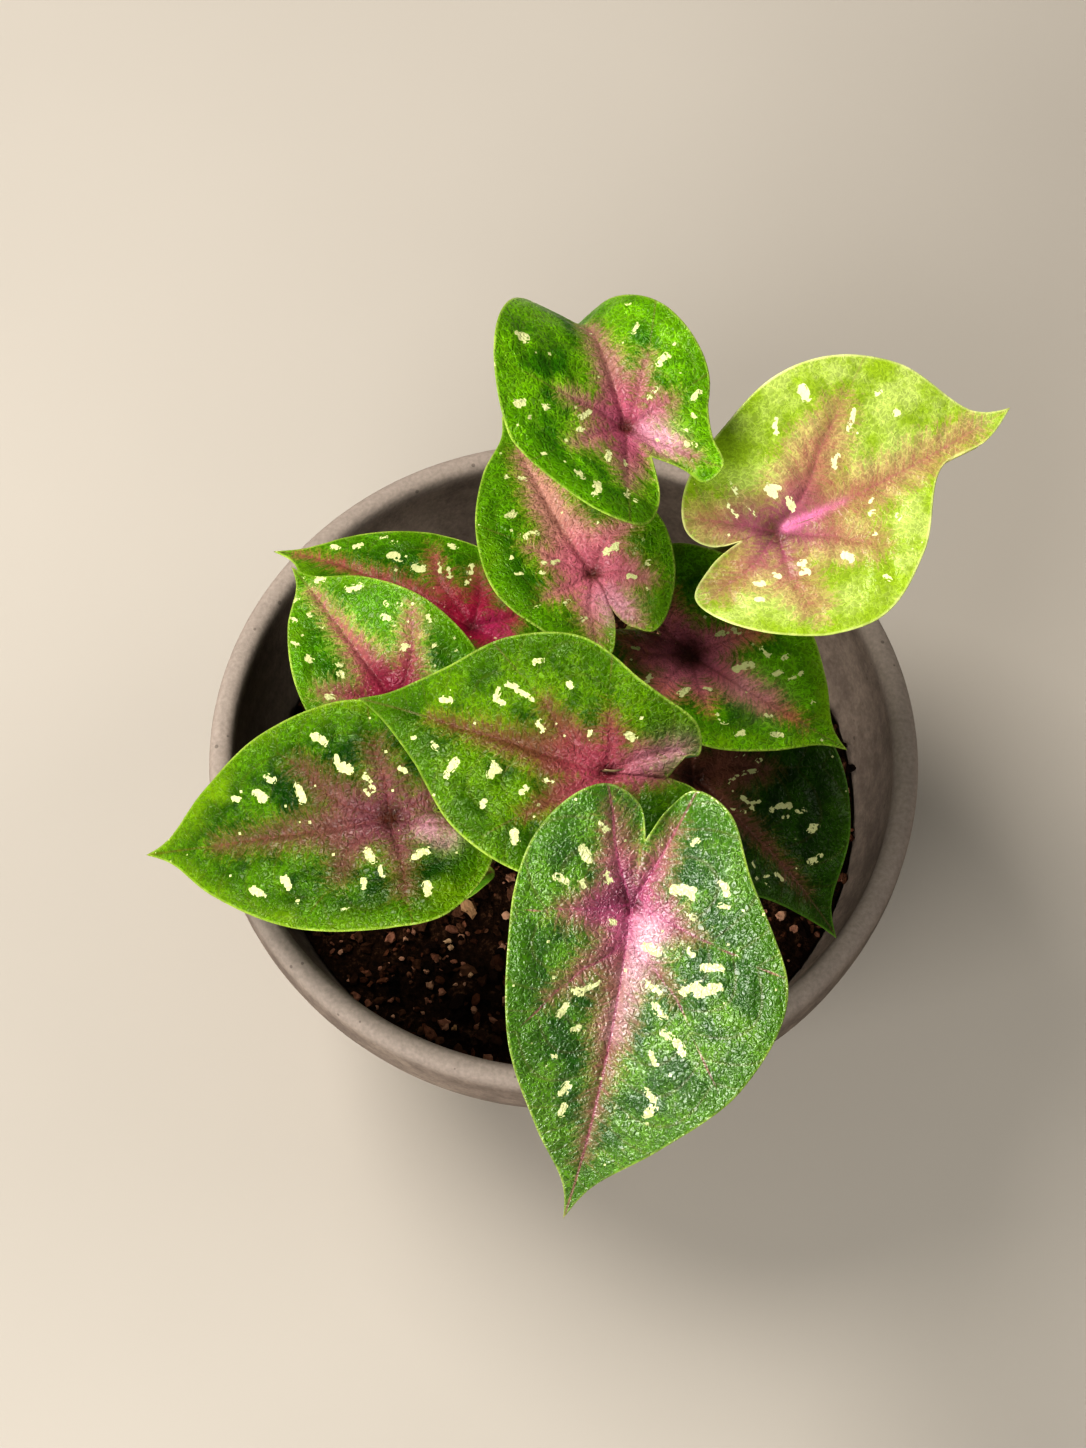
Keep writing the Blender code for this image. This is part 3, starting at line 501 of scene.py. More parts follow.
leaves["top"] = dict(
    at=(12.7, 36.6, 165), heading=105, pitch=6.5, roll=5, tip=48, notch=8.7, droop=110.5, lobeDroop=2.5,
    droopPower=1.7, tipFold=35, bend=0.01, lobeTurn=0.44, point=1.05, foot=(95, 13), bow=(14, 5), lean=-0.1,
    phase=1.5, left=(27.4, 23.6, 0.49, 0.89, 0.18, 0.09, 0.59, 27, 16.5),
    right=(19.6, 16.4, 0.34, 0.71, 0.25, 0.11, 0.49, 24, 14),
    arms=[[(-0.8, 0, 4.5), (7.4, 0, 3.9), (16.4, 0, 2.7), (28.1, 0, 1.5)],
          [(-0.8, 0, 3.4), (3, 4.6, 2.6), (5.4, 9, 1.3), (7.2, 12.5, 0.4)],
          [(-0.8, 0, 3.2), (-1.4, 6, 2.3), (-2.8, 11, 1.1), (-3.8, 14.5, 0.4)],
          [(-0.8, 0, 4.1), (-6.8, 4.2, 3.5), (-13.5, 9.3, 1.4)],
          [(-0.8, 0, 2.9), (-5.6, -3.5, 2.1), (-10.9, -7.6, 0.6)],
          [(-0.8, 0, 3.3), (1.3, -6.2, 2.3), (2.4, -10.4, 0.7)],
          [(-0.8, 0, 3.2), (7.4, -4.9, 1.7), (12.4, -8.2, 0.5)]],
    flecks=[(19.5, 19.2, 19.4, 18.4, 1.3), (33.9, 12.2, 33.9, 11.5, 0.6), (6.3, 23.8, 6, 22.6, 1),
            (5.3, 18.3, 4.6, 17.4, 0.6), (4.6, 17.1, 4.5, 16.8, 0.5), (3, 22.2, 2.9, 21.3, 0.5),
            (1.8, 10.7, 3.3, 7.9, 0.7), (-0.9, 11.9, -0.4, 10.7, 0.6), (-8, 10.1, -6.8, 8.6, 0.7),
            (-8.7, 6.3, -9.8, 6.6, 0.6), (-10.6, 18.5, -11.6, 18.8, 0.9), (-15.7, 18.6, -13.6, 16.6, 0.8),
            (-16.7, 19.8, -15.5, 18.4, 0.6), (-17, 12.6, -15.6, 11.1, 0.6), (-17.9, 11.7, -18.5, 11.6, 0.5),
            (19.3, -8, 20.8, -9.5, 0.6), (26.6, -9.7, 26.2, -10, 0.5), (10.3, -10.5, 11.1, -12.4, 0.8),
            (7.8, -14.4, 7.3, -14.2, 0.5), (13.4, -14.3, 13.1, -14.7, 0.5), (1, -15, 2.2, -16.5, 0.7),
            (-2.1, -13.5, -2.7, -13.6, 0.6), (-4.8, -9.6, -5.1, -10.1, 0.5), (-7.7, -8.5, -8.5, -8.2, 0.5),
            (-8.5, -9.6, -8.8, -9.7, 0.5), (3.8, -5.9, 5.4, -8, 0.5)],
    look=dict(dark="#386e02", mid="#6c9e0c", bright="#669606", halo="#8fa634", dusky="#b88880",
              rose="#b8607c", heart="#5a1220", haloWidth=2.4, haloAmount=0.6, dots=5),
    paintedLight=[(-3, -4.5, 3.8, 0.6), (-7, -5, 3, 0.5), (0.6, 0, 2.5, -0.3)])
leaves["upper"] = dict(
    at=(5, 17, 138), heading=120, pitch=-6, roll=2, tip=47.5, notch=10.5, droop=17, lobeDroop=7, bend=-0.11,
    lobeTurn=-0.09, point=1.1, foot=(100, 5), phase=4,
    left=(21.5, 21, 0.24, 0.8, 0.09, 0.01, 0.49, 16.5, 9),
    right=(18.5, 21, 0.28, 0.87, 0.1, 0.05, 0.3, 16, 9),
    arms=[[(-1.9, 0, 5.1), (7.1, 0, 5.1), (19.7, 0, 3.6), (34.7, 0, 1.1)],
          [(-1.9, 0, 4.2), (4.5, 5.4, 2.7), (9.5, 9, 0.9)],
          [(-1.9, 0, 3.4), (-3.1, 7.4, 2), (-3.5, 11.5, 0.5)],
          [(-1.9, 0, 3.4), (-8.7, 4.1, 3), (-15.6, 6.2, 1.1)],
          [(-1.9, 0, 3.4), (-8.7, -0.8, 2.8), (-16.6, -3.2, 1.1)],
          [(-1.9, 0, 4.2), (-3.9, -4.4, 4.2), (-9.3, -9.2, 1.7)],
          [(-1.9, 0, 4.2), (3.4, -6.1, 3.4), (3.9, -11.4, 1.7)]],
    flecks=[(29.2, 5.7, 29.2, 5.3, 0.7), (27.9, 2.9, 27.2, 1.9, 0.8), (18.7, 9.9, 19.1, 8.3, 1),
            (12.8, 9.1, 12.3, 8.7, 0.7), (12.8, 7.5, 12.2, 6.2, 0.6), (8.6, 15.3, 8.6, 14.3, 0.6),
            (4.5, 8.6, 4, 7.7, 0.5), (3.8, 6.8, 3.9, 5.7, 0.8), (4.6, 15.4, 4.2, 13.9, 0.4),
            (2.6, 11, 2.4, 10, 0.5), (0.8, -4.7, 0.7, -7.2, 1), (-6.7, -10.9, -6.8, -11.7, 0.7),
            (-6.9, -6.5, -7.8, -7.3, 0.7), (-11.4, -8.6, -11.4, -8.9, 0.5), (-5, 15.8, -4.8, 15, 0.6),
            (-6.4, 9.5, -6.5, 8.3, 0.6), (-11, 7.7, -11.3, 7.6, 0.5)],
    look=dict(dark="#306202", mid="#60900c", bright="#6e9c10", halo="#8a962c", dusky="#c89488",
              rose="#cc7488", heart="#520e1a", haloWidth=2.8, haloAmount=0.6, dots=4),
    paintedLight=[(-9, 0.5, 3.6, 0.45), (-13.4, -1, 4, 0.5), (1.5, -1, 2.5, -0.3)])
leaves["lime"] = dict(
    at=(45, 19.5, 150), heading=22, pitch=7, roll=7, tip=56, notch=8.5, droop=8, lobeDroop=1.5, bend=0.11,
    lobeTurn=-0.14, point=1.25, foot=(55, 13), bow=(0, 22), lean=0.1, phase=0.5, ridge=0.35,
    slot="leaf_lime", left=(29.5, 18, 0.16, 0.68, 0.04, 0.17, 0.7, 19, 6.5),
    right=(27.5, 22, 0.34, 0.83, 0.15, 0.2, 0.13, 15, 9.5),
    arms=[[(-0.5, 0, 3.4), (8.9, 0, 3.6), (18.2, 0, 2.3), (34.2, 0, 0.8), (45.3, 0, 0.4)],
          [(-0.5, 0, 4.2), (8, 5, 5.2), (13.9, 11.5, 3), (21, 17.5, 0.4)],
          [(-0.5, 0, 3.8), (-6.2, 3.3, 3.8), (-13.5, 6.4, 2.1)],
          [(-0.5, 0, 2.9), (-7.8, -6, 2.5), (-15.4, -8.8, 1)],
          [(-0.5, 0, 3.4), (8.9, -5.7, 3.1), (16, -11.4, 0.8)],
          [(-0.5, 0, 2.9), (-2.2, -10.6, 2.5), (-0.9, -19, 0.6)]],
    flecks=[(15.8, 24.9, 16, 23.4, 1.3), (7.3, 20.2, 8.3, 21.5, 0.6), (7.4, 19.2, 7.5, 18.6, 0.6),
            (15.8, 7.7, 17.1, 9.2, 0.8), (22, 13.2, 24.2, 16.5, 0.6), (32.3, 11.9, 32.7, 11.3, 0.9),
            (30, 17.4, 30.8, 17.2, 0.6), (1.3, 9.2, 3.2, 8.3, 1), (1.4, 8.1, 2.2, 6.9, 0.8),
            (4.2, 5.1, 4.1, 3.4, 1), (-5.5, 13.4, -5, 9.9, 0.4), (-7.9, 8.3, -7, 5.6, 0.4),
            (-4.1, 6.6, -3.5, 4.6, 0.4), (0.6, -9.3, 1.7, -9.5, 0.9), (-0.1, -11.5, 1.2, -11.8, 0.8),
            (9.9, -11.7, 10.7, -13.2, 1), (-5.1, -10, -4.6, -10.3, 0.7), (-9.6, -10.8, -8.4, -11, 0.8),
            (-10.7, -14.6, -9.9, -14.8, 0.7), (19.7, -2.9, 20.4, -2.7, 0.6), (18.8, -5.3, 19.6, -5.5, 0.7),
            (17, -10.2, 17.6, -10.6, 0.6), (15.6, -20.2, 16.2, -21, 0.6), (23.5, -8.6, 23.8, -9.5, 0.6)],
    look=dict(dark="#94ae34", mid="#b2c468", bright="#9cb82e", rim="#ecf3a8", halo="#c09a78",
              dusky="#a66a62", sunkColour="#7c9c14", rose="#a05074", heart="#5a2438", veinTint="#b46078",
              cream="#f0f4bc", glowColour="#e68cb4", wrinkle=0.05, net=0.4, tissue=0.88, heartSize=6,
              soft=4.6, feather=4.6, armShare=0.88, haloWidth=4.2, haloAmount=0.5, brightWidth=5,
              veinShare=0.2, sideShare=0.0, dots=1),
    paintedLight=[(1.5, 0, 1.2, 1.1), (3.2, 0, 1.2, 1.1), (5, 0, 1.2, 1), (7, 0, 1.1, 0.9), (9, 0, 1.1, 0.75),
          (11, 0, 1, 0.6), (13, 0, 1, 0.5), (15, 0, 1, 0.4), (-6, 20, 8, -0.5), (4, 26, 6, -0.45),
          (-14, 13, 6, -0.35)])
leaves["backHigh"] = dict(
    at=(-21, 22, 100), heading=147, pitch=-3, roll=8.5, tip=53.5, notch=10, droop=29, lobeDroop=9,
    bend=0.04, foot=(140, 13), phase=0, left=(23.5, 22, 0.5, 0.9, 0.15, 0.04, 0.45, 13.5, 10),
    right=(19, 22, 0.5, 0.9, 0.15, 0.04, 0.46, 12, 12.5),
    arms=[[(-1, 0, 4.9), (13.6, 0, 3.1), (23.8, 0, 1.8), (34.7, 0, 0.9), (46.5, 0, 0.2)],
          [(-1, 0, 4.4), (11.1, -5.1, 2.2), (17.5, -11.8, 0.7)],
          [(-1, 0, 3.5), (1.5, -6.5, 2.9), (5.8, -12.4, 1.1)],
          [(-1, 0, 4), (-6, -5.3, 2.6), (-8.4, -9.6, 1.1)],
          [(-1, 0, 4), (-7.9, -0.4, 2.6), (-13, 1, 1.1)]],
    flecks=[(39.4, -4.1, 38.1, -4.2, 0.8), (34.3, -5.6, 33.1, -6.1, 0.8), (29.8, -9.6, 29, -10.3, 0.6),
            (26.7, -10, 26, -9.8, 0.6), (25.1, -6.5, 23.8, -7.3, 0.9), (23.1, -6.4, 22.4, -6.5, 0.6),
            (14.9, -14.9, 13.6, -15.2, 0.7), (18.7, -6.3, 16.9, -6.7, 1), (14.3, -9.6, 13, -8, 0.6),
            (11.7, -9.5, 10.5, -8.1, 0.6), (7.9, -13.2, 7.1, -11.1, 0.7), (6.5, -9.4, 6.2, -7.8, 0.6)],
    look=dict(dark="#285a00", mid="#507e0a", bright="#648e0e", halo="#7d941e", dusky="#aa5c5c",
              rose="#a2184a", heart="#5a0224", glowColour="#e05a92", wrinkle=0.06, shine=0.08, coat=0.05,
              dots=5),
    paintedLight=[(-4, -3, 3.5, 0.35), (-9, -1, 3, 0.3)])
leaves["backLow"] = dict(
    at=(-36.5, -1.5, 109), heading=125, pitch=3, roll=-6, tip=44, notch=8.5, droop=25, lobeDroop=12,
    lobeTurn=-0.3, foot=(178, 13), phase=1, left=(18, 18, 0.5, 0.9, 0.15, 0.02, 0.52, 14.5, 10.5),
    right=(21, 18, 0.5, 0.9, 0.15, 0.02, 0.51, 15, 9),
    arms=[[(-0.1, 0, 5.2), (4.1, 0, 5.2), (15.2, 0, 2.4), (23.2, 0, 1.1), (33.9, 0, 0.4)],
          [(-0.1, 0, 3.5), (4.5, -6.4, 2.6), (11.1, -12.3, 1.1), (14.9, -14.9, 0.4)],
          [(-0.1, 0, 3.5), (6.5, 6.5, 2), (10.6, 11.7, 0.9)],
          [(-0.1, 0, 3.5), (-4, -7.2, 2.2), (-5.7, -13.2, 0.9)],
          [(-0.1, 0, 3.1), (-6.1, 0.6, 2), (-11.2, 1.3, 0.7)]],
    flecks=[(37.1, -2.9, 36.8, -3.2, 0.5), (38.9, -0.6, 38.9, -0.8, 0.4), (36.2, -2.3, 35.3, -3.7, 0.9),
            (28.9, -6.6, 28.3, -6.9, 0.8), (28.3, -7.3, 27.2, -9.2, 0.8), (34.7, 4.5, 34.6, 3.8, 0.8),
            (30.4, 7.3, 29.7, 7.1, 0.7), (29.4, 4.1, 28.9, 3.7, 0.7), (25.5, 3.3, 24.7, 3.2, 0.5),
            (24.6, 10.6, 23.7, 10.2, 0.7), (19.9, 10.3, 18.8, 9.8, 0.9), (15, 6.2, 14, 5, 0.5),
            (12.7, 6.3, 11.7, 6.1, 0.8), (9.5, 11.7, 8.5, 11.1, 0.9), (19.8, -11.3, 19.1, -11.4, 0.7),
            (17.8, -13.5, 17.3, -13.7, 0.5), (17.6, -9.1, 16.8, -9.6, 0.8), (14.8, -10.2, 14.6, -10, 0.5),
            (11.1, -16.8, 10.4, -16.7, 0.7), (8.7, -8.3, 9.2, -9.2, 0.9), (5.2, -13.9, 4.9, -15.8, 0.5),
            (1.6, -17, 1.2, -17.3, 0.4)],
    look=dict(dark="#2c6000", mid="#588a0e", bright="#6c9a12", halo="#b4c064", dusky="#b06a70",
              rose="#a8305a", heart="#5a0a2c", wrinkle=0.1, haloWidth=2.4, haloAmount=0.55, dots=5))
leaves["right"] = dict(
    at=(27, 3, 124), heading=326, pitch=-6, roll=0, tip=39.5, notch=8, droop=21.5, lobeDroop=9, bend=0.1,
    foot=(2, 13), bow=(-5, 5), phase=3, left=(24, 19.5, 0.5, 0.9, 0.15, 0.04, 0.47, 16, 9),
    right=(20.5, 19.5, 0.5, 0.9, 0.15, 0.04, 0.47, 16, 8),
    arms=[[(-0.3, 0, 3.9), (10.4, 0, 3), (19.2, 0, 1.7), (28.1, 0, 0.4)],
          [(-0.3, 0, 3.4), (3, 4.7, 3.2), (9.3, 12.4, 0.9)],
          [(-0.3, 0, 5.2), (-7.7, 1.6, 5.2), (-12.2, 6.7, 3)],
          [(-0.3, 0, 4.7), (-7, -5.7, 4.3), (-12.7, -5.3, 2.2)],
          [(-0.3, 0, 3.9), (-0.4, -10, 3), (-1, -15.4, 1.1)],
          [(-0.3, 0, 3.4), (6.3, -6.2, 2.2), (9.7, -9.2, 0.6)]],
    flecks=[(9.7, 2.6, 12, 5.4, 0.8), (17, 5.8, 17.9, 7.4, 0.6), (20.4, 6.9, 21.7, 9.4, 0.5),
            (27, 5.2, 27.8, 5.8, 0.6), (20.8, -3.2, 21.5, -3.3, 0.6), (24.1, -6.2, 25.6, -5.5, 0.9),
            (12.1, -9.5, 13.2, -10.3, 0.4), (14, -10.4, 14.7, -9.9, 0.5), (18, -11, 18.6, -9.8, 0.8),
            (2.3, 6.9, 2.8, 7.9, 0.5), (3.4, 7.7, 3.9, 8.4, 0.5), (4.5, 9.7, 5.7, 9.8, 0.6),
            (7.1, 12.8, 7.9, 12.1, 0.4), (11.9, 9.4, 13.8, 8.9, 0.6), (16.7, 9.8, 16.8, 10.9, 0.6),
            (-3.9, -12.3, -3.9, -10.5, 0.6), (3.6, -10.2, 3.8, -8, 0.8), (6.8, -5.3, 7.9, -4.8, 0.4),
            (-10.8, -6.6, -9.9, -6.1, 0.5)],
    # The wide dark heart is partly the leaf's own maroon and partly painted shade from the leaf above it.
    look=dict(dark="#346a02", mid="#6aa006", bright="#86b20c", dusky="#cc8668", rose="#e88aa6",
              heart="#4a1418", heartSize=6, dots=4),
    paintedLight=[(13, 0, 4, 0.45), (19, 0, 4, 0.35), (-1, 1, 4.5, -0.55), (-8, -2, 5, -0.5)])
leaves["rightLow"] = dict(
    at=(28, -17.5, 106), heading=317, pitch=-6, roll=-10, tip=47.5, notch=8, droop=34, lobeDroop=9,
    lobeTurn=0.1, foot=(318, 13), phase=2, slot="leaf_dark",
    left=(29, 15, 0.5, 0.9, 0.15, 0.04, 0.58, 17, 9),
    right=(25.5, 15, 0.5, 0.9, 0.15, 0.04, 0.32, 15.5, 9.5),
    arms=[[(0, 0, 3.9), (11.5, 0, 2), (21.5, 0, 0.9), (29, 0, 0.7), (34.8, 0, 0.4)],
          [(0, 0, 4.8), (3.8, 7.3, 4.8), (9.9, 11.9, 1.8)],
          [(0, 0, 3.5), (-5.5, 5.3, 2.6), (-7.7, 9.7, 0.9)],
          [(0, 0, 3.5), (-5.3, -3.3, 2.6), (-8.3, -4.5, 1.1)],
          [(0, 0, 2.6), (6.4, -5.5, 1.8), (12.6, -9.7, 0.7)]],
    flecks=[(6.3, 4.4, 7, 7.4, 0.4), (6.8, 7.5, 8.7, 10.5, 0.5), (3.6, 8.8, 4.4, 11.3, 0.4),
            (7.7, 12.1, 7.8, 12.8, 0.5), (10.1, 14.5, 10, 15, 0.4), (10.8, 3.8, 12.5, 4.1, 0.5),
            (12.5, 4.1, 14, 6.2, 0.4), (12.6, 3.9, 14.1, 3.8, 0.4), (10.6, 0.2, 13.3, 2.1, 0.3),
            (17.2, 6.4, 17.3, 7.7, 0.7), (17.5, 8.1, 18.8, 10.1, 0.7), (20.8, 10.2, 21.9, 11.8, 0.5),
            (19.9, 7.4, 20.4, 8.1, 0.4), (25.6, 9.6, 26.1, 10.3, 0.7), (25.4, 10.6, 26.2, 11.6, 0.8),
            (30.4, 4.8, 31.2, 6.5, 0.7), (31.2, 6.5, 31.1, 8.3, 0.5), (21.9, -6.1, 23.3, -6.5, 0.4),
            (26.1, -5.9, 26.6, -4.9, 0.4), (27.7, -3.2, 29.3, -2.7, 0.7), (27.2, -6.7, 28.6, -6.8, 0.4)],
    # Its greens, rose and cream are darker than the other leaves': painted shade, for this leaf lies under
    # the others.
    look=dict(dark="#183400", mid="#2a4a02", bright="#426608", rim="#6f9a38", halo="#5c5a22",
              dusky="#785246", rose="#845648", heart="#2c0e0c", cream="#c5c794", heartSize=7, wrinkle=0.09,
              dots=4))
leaves["young"] = dict(
    at=(-24, -33.7, 92), heading=205, pitch=-8, roll=4, tip=16, notch=3, droop=25, lobeDroop=9,
    foot=(242, 10.5), phase=3.5, slot="leaf_young", left=(8.5, 7.5, 0.5, 0.92, 0.12, 0, 0.45, 20, 10),
    right=(8.5, 7.5, 0.5, 0.92, 0.12, 0, 0.45, 20, 10),
    arms=[[(0, 0, 1.2), (8, 0, 0.6), (13, 0, 0.2)], [(0, 0, 1.2), (2, 4, 0.6), (5, 6, 0.2)],
          [(0, 0, 1.2), (2, -4, 0.6), (5, -6, 0.2)], [(0, 0, 1.2), (-4, 3, 0.5), (-6, 4, 0.2)],
          [(0, 0, 1.2), (-4, -3, 0.5), (-6, -4, 0.2)]],
    flecks=[(6, 3, 6.6, 3.2, 0.4), (-2, -4, -2.2, -4.4, 0.4)],
    look=dict(dark="#4c9812", mid="#66b022", bright="#80c236", wrinkle=0.04, net=0.2, tissue=0.95))
leaves = {key: {**leafForm, **one} for key, one in leaves.items()}

# What all blades share. Lengths in mm.
blade = dict(perStretch=16, rings=58, ringPower=0.85, thick=0.46, rimThick=0.3, wave=1.1, waves=6,
             veinGroove=0.32, quilt=0.34, veinSpacing=5.6, sweep=0.8, cockle=0.3, blend=0.8,
             midribWidth=0.9, veinWidth=0.75, sideVeinWidth=1.3, quiltFrom=1.8, dimple=0.5, dimpleWidth=2.2)


def halfOf(one, side):
    return dict(zip(halfNames, one[side]))


def stalkFoot(one):  # where the stalk leaves the soil, as x and y
    turn, away = math.radians(one["foot"][0]), one["foot"][1]
    return np.array([math.cos(turn), math.sin(turn)]) * away


def smoothCurve(keys, perStretch):
    # A smooth line through the keys: cubic stretches whose ends share a slope.
    keys = np.array(keys, float)
    step = np.sqrt(np.linalg.norm(np.diff(keys, axis=0), axis=1))
    slopes = np.zeros_like(keys)
    before, after = step[:-1, None], step[1:, None]
    first, second = (keys[1:-1] - keys[:-2]) / before, (keys[2:] - keys[1:-1]) / after
    slopes[1:-1] = (first * after + second * before) / (before + after)
    slopes[0] = 1.5 * (keys[1] - keys[0]) / step[0] - 0.5 * slopes[1]
    slopes[-1] = 1.5 * (keys[-1] - keys[-2]) / step[-1] - 0.5 * slopes[-2]
    s = np.arange(perStretch)[:, None] / perStretch
    line = [(2 * s ** 3 - 3 * s ** 2 + 1) * keys[k] + (s ** 3 - 2 * s ** 2 + s) * step[k] * slopes[k]
            + (3 * s ** 2 - 2 * s ** 3) * keys[k + 1] + (s ** 3 - s ** 2) * step[k] * slopes[k + 1]
            for k in range(len(step))]
    return np.concatenate(line + [keys[-1:]])


def halfOutline(one, side):
    # From the tip, round the side and the lobe, to the notch: (along the midrib, across it).
    half, tip, notch = halfOf(one, side), one["tip"], one["notch"]
    width, lobe, shoulder = half["width"], half["lobe"], half["shoulder"]
    keys = [(tip, 0), (0.86 * tip, 0.1 * width * one["point"]), (0.66 * tip, shoulder * width),
            ((0.7 + half["widest"]) / 2 * tip, (0.62 + 0.5 * shoulder) * width),
            (half["widest"] * tip, width), (-0.5 * lobe, half["full"] * width),
            (-0.9 * lobe, (half["reach"] + 0.24) * width), (-lobe, half["reach"] * width),
            (-notch - 0.62 * (lobe - notch), half["cut"] * width), (-notch, 0)]
    return smoothCurve(keys, blade["perStretch"])


def leafOutline(one):
    left, right = halfOutline(one, "left"), halfOutline(one, "right") * (1, -1)
    return np.concatenate([left, right[-2:0:-1]])


def leafAxes(one):
    # The blade's own directions where the stalk joins it: to the tip, to its left, and up.
    heading, pitch, roll = (math.radians(one[key]) for key in ("heading", "pitch", "roll"))
    ahead = np.array([math.cos(heading) * math.cos(pitch), math.sin(heading) * math.cos(pitch),
                      math.sin(pitch)])
    level = np.array([-math.sin(heading), math.cos(heading), 0])
    left = level * math.cos(roll) + np.cross(ahead, level) * math.sin(roll)
    return ahead, left, np.cross(ahead, left)


def runningMean(of, reach, steps=24):  # the integral of a function from 0 to each reach
    share = (np.arange(steps) + 0.5) / steps
    return of(reach[..., None] * share).mean(-1) * reach


def bentBlade(one, flat):
    # Points of the flat blade bent into space: the tilt grows with a power of the way to the tip
    # and with the way to the lobes; each half rises from the midrib and curls down with its width.
    ahead, left, up = leafAxes(one)
    u, v = flat[:, 0], flat[:, 1]
    halves = halfOf(one, "left"), halfOf(one, "right")
    tip, lobe = one["tip"], max(half["lobe"] for half in halves)
    width = sum(half["width"] for half in halves) / 2
    droop, lobeDroop = math.radians(one["droop"]), math.radians(one["lobeDroop"])
    fold, curl = (np.where(v >= 0, halves[0][key], halves[1][key]) for key in ("fold", "curl"))
    fold = np.radians(fold + one["tipFold"] * np.clip(u / tip, 0, 1) ** 2)[:, None]
    curl = np.radians(curl)[:, None]

    def tilt(x):
        toTip = -droop * np.clip(x / tip, 0, 1.2) ** one["droopPower"]
        return np.where(x > 0, toTip, lobeDroop * np.clip(-x / lobe, 0, 1.2))

    def rise(x):
        return fold * np.tanh(x / (0.12 * width)) - curl * x / width

    along = runningMean(lambda x: np.cos(tilt(x)), u)
    down = runningMean(lambda x: np.sin(tilt(x)), u)
    across = runningMean(lambda x: np.cos(rise(x)), abs(v)) * np.sign(v)
    high = runningMean(lambda x: np.sin(rise(x)), abs(v))
    across = across + np.where(u > 0, one["bend"] * u * abs(u) / tip,
                               -one["lobeTurn"] * (np.sqrt(u ** 2 + 0.01 * lobe ** 2) - 0.1 * lobe))
    return (np.array(one["at"]) + np.outer(along - np.sin(tilt(u)) * high, ahead) + np.outer(across, left)
            + np.outer(down + np.cos(tilt(u)) * high, up))


def toSegment(flat, start, end):
    # Distance of points from a straight segment, and how far along it the nearest place is.
    way = np.subtract(end, start)
    along = np.clip((flat - start) @ way / max(way @ way, 1e-9), 0, 1)
    return np.linalg.norm(flat - start - along[:, None] * way, axis=1), along


def veinTurns(arm, heart, reach):
    # The direction of a main vein, seen from the heart, at each reach from it.
    steps = arm[:, :2] - heart
    radii = np.maximum.accumulate(np.hypot(steps[:, 0], steps[:, 1])) + np.arange(len(arm)) * 1e-3
    turns = np.arctan2(steps[:, 1], steps[:, 0])
    if radii[0] < 0.01:      # the arm starts in the heart, where it has no direction of its own
        turns[0] = turns[1]
    return np.interp(reach, radii, np.unwrap(turns))


def leafFields(one, flat, rim):
    # Numbers in mm for the finish and the relief: reach from the leaf's heart; side, the distance
    # from the nearest main vein; way, which side veins follow; rosy and fleck, how deep a point
    # lies in a rosy arm or a cream stroke; edge, the distance from the margin; and the painted light,
    # how much painted highlight or, below nothing, painted shade the place has: a sum of bell curves.
    arms = [np.array(arm, float) for arm in one["arms"]]
    heart = np.array([arms[0][0][0], 0.0])
    away = flat - heart
    reach, angle = np.hypot(away[:, 0], away[:, 1]), np.arctan2(away[:, 1], away[:, 0])
    veins = sorted((veinTurns(arm, heart, reach) for arm in arms), key=lambda vein: vein[np.argmax(reach)])
    for k in range(1, len(veins)):
        veins[k] = np.maximum(veins[k], veins[k - 1] + 0.02)
    side = np.zeros_like(reach)
    bounds = [-fullTurn - veins[0]] + veins + [fullTurn - veins[-1]]
    for low, high in zip(bounds[:-1], bounds[1:]):
        share = np.clip((angle - low) / np.maximum(high - low, 1e-6), 0, 1)
        side = np.where((angle >= low) & (angle < high),
                        reach * (high - low) / math.pi * np.sin(math.pi * share), side)
    rosy = np.zeros_like(reach)
    for arm in arms:
        for start, end in zip(arm[:-1], arm[1:]):
            distance, along = toSegment(flat, start[:2], end[:2])
            depth = start[2] + (end[2] - start[2]) * along - distance
            rosy += np.exp(np.clip(depth / blade["blend"], -40, 20))
    fleck = np.full_like(reach, -9.0)
    for startU, startV, endU, endV, halfWidth in one["flecks"]:
        fleck = np.maximum(fleck, halfWidth - toSegment(flat, (startU, startV), (endU, endV))[0])
    edge = np.full_like(reach, 99.0)
    for k in range(0, len(rim), 2):
        edge = np.minimum(edge, toSegment(flat, rim[k], rim[(k + 2) % len(rim)])[0])
    # Painted highlights and painted shade: bell curves put where the leaf catches the light or lies in
    # shade.
    paintedLight = np.zeros_like(reach)
    for u, v, radius, amount in one["paintedLight"]:
        paintedLight += amount * np.exp(-((flat[:, 0] - u) ** 2 + (flat[:, 1] - v) ** 2) / radius ** 2)
    return dict(reach=reach, side=side, way=reach - blade["sweep"] * side, fleck=fleck, edge=edge, paintedLight=paintedLight,
                rosy=blade["blend"] * np.log(rosy + 1e-9))


def bell(distance, width):  # 1 in the middle, and falling off beside it
    return np.exp(-(distance / width) ** 2)


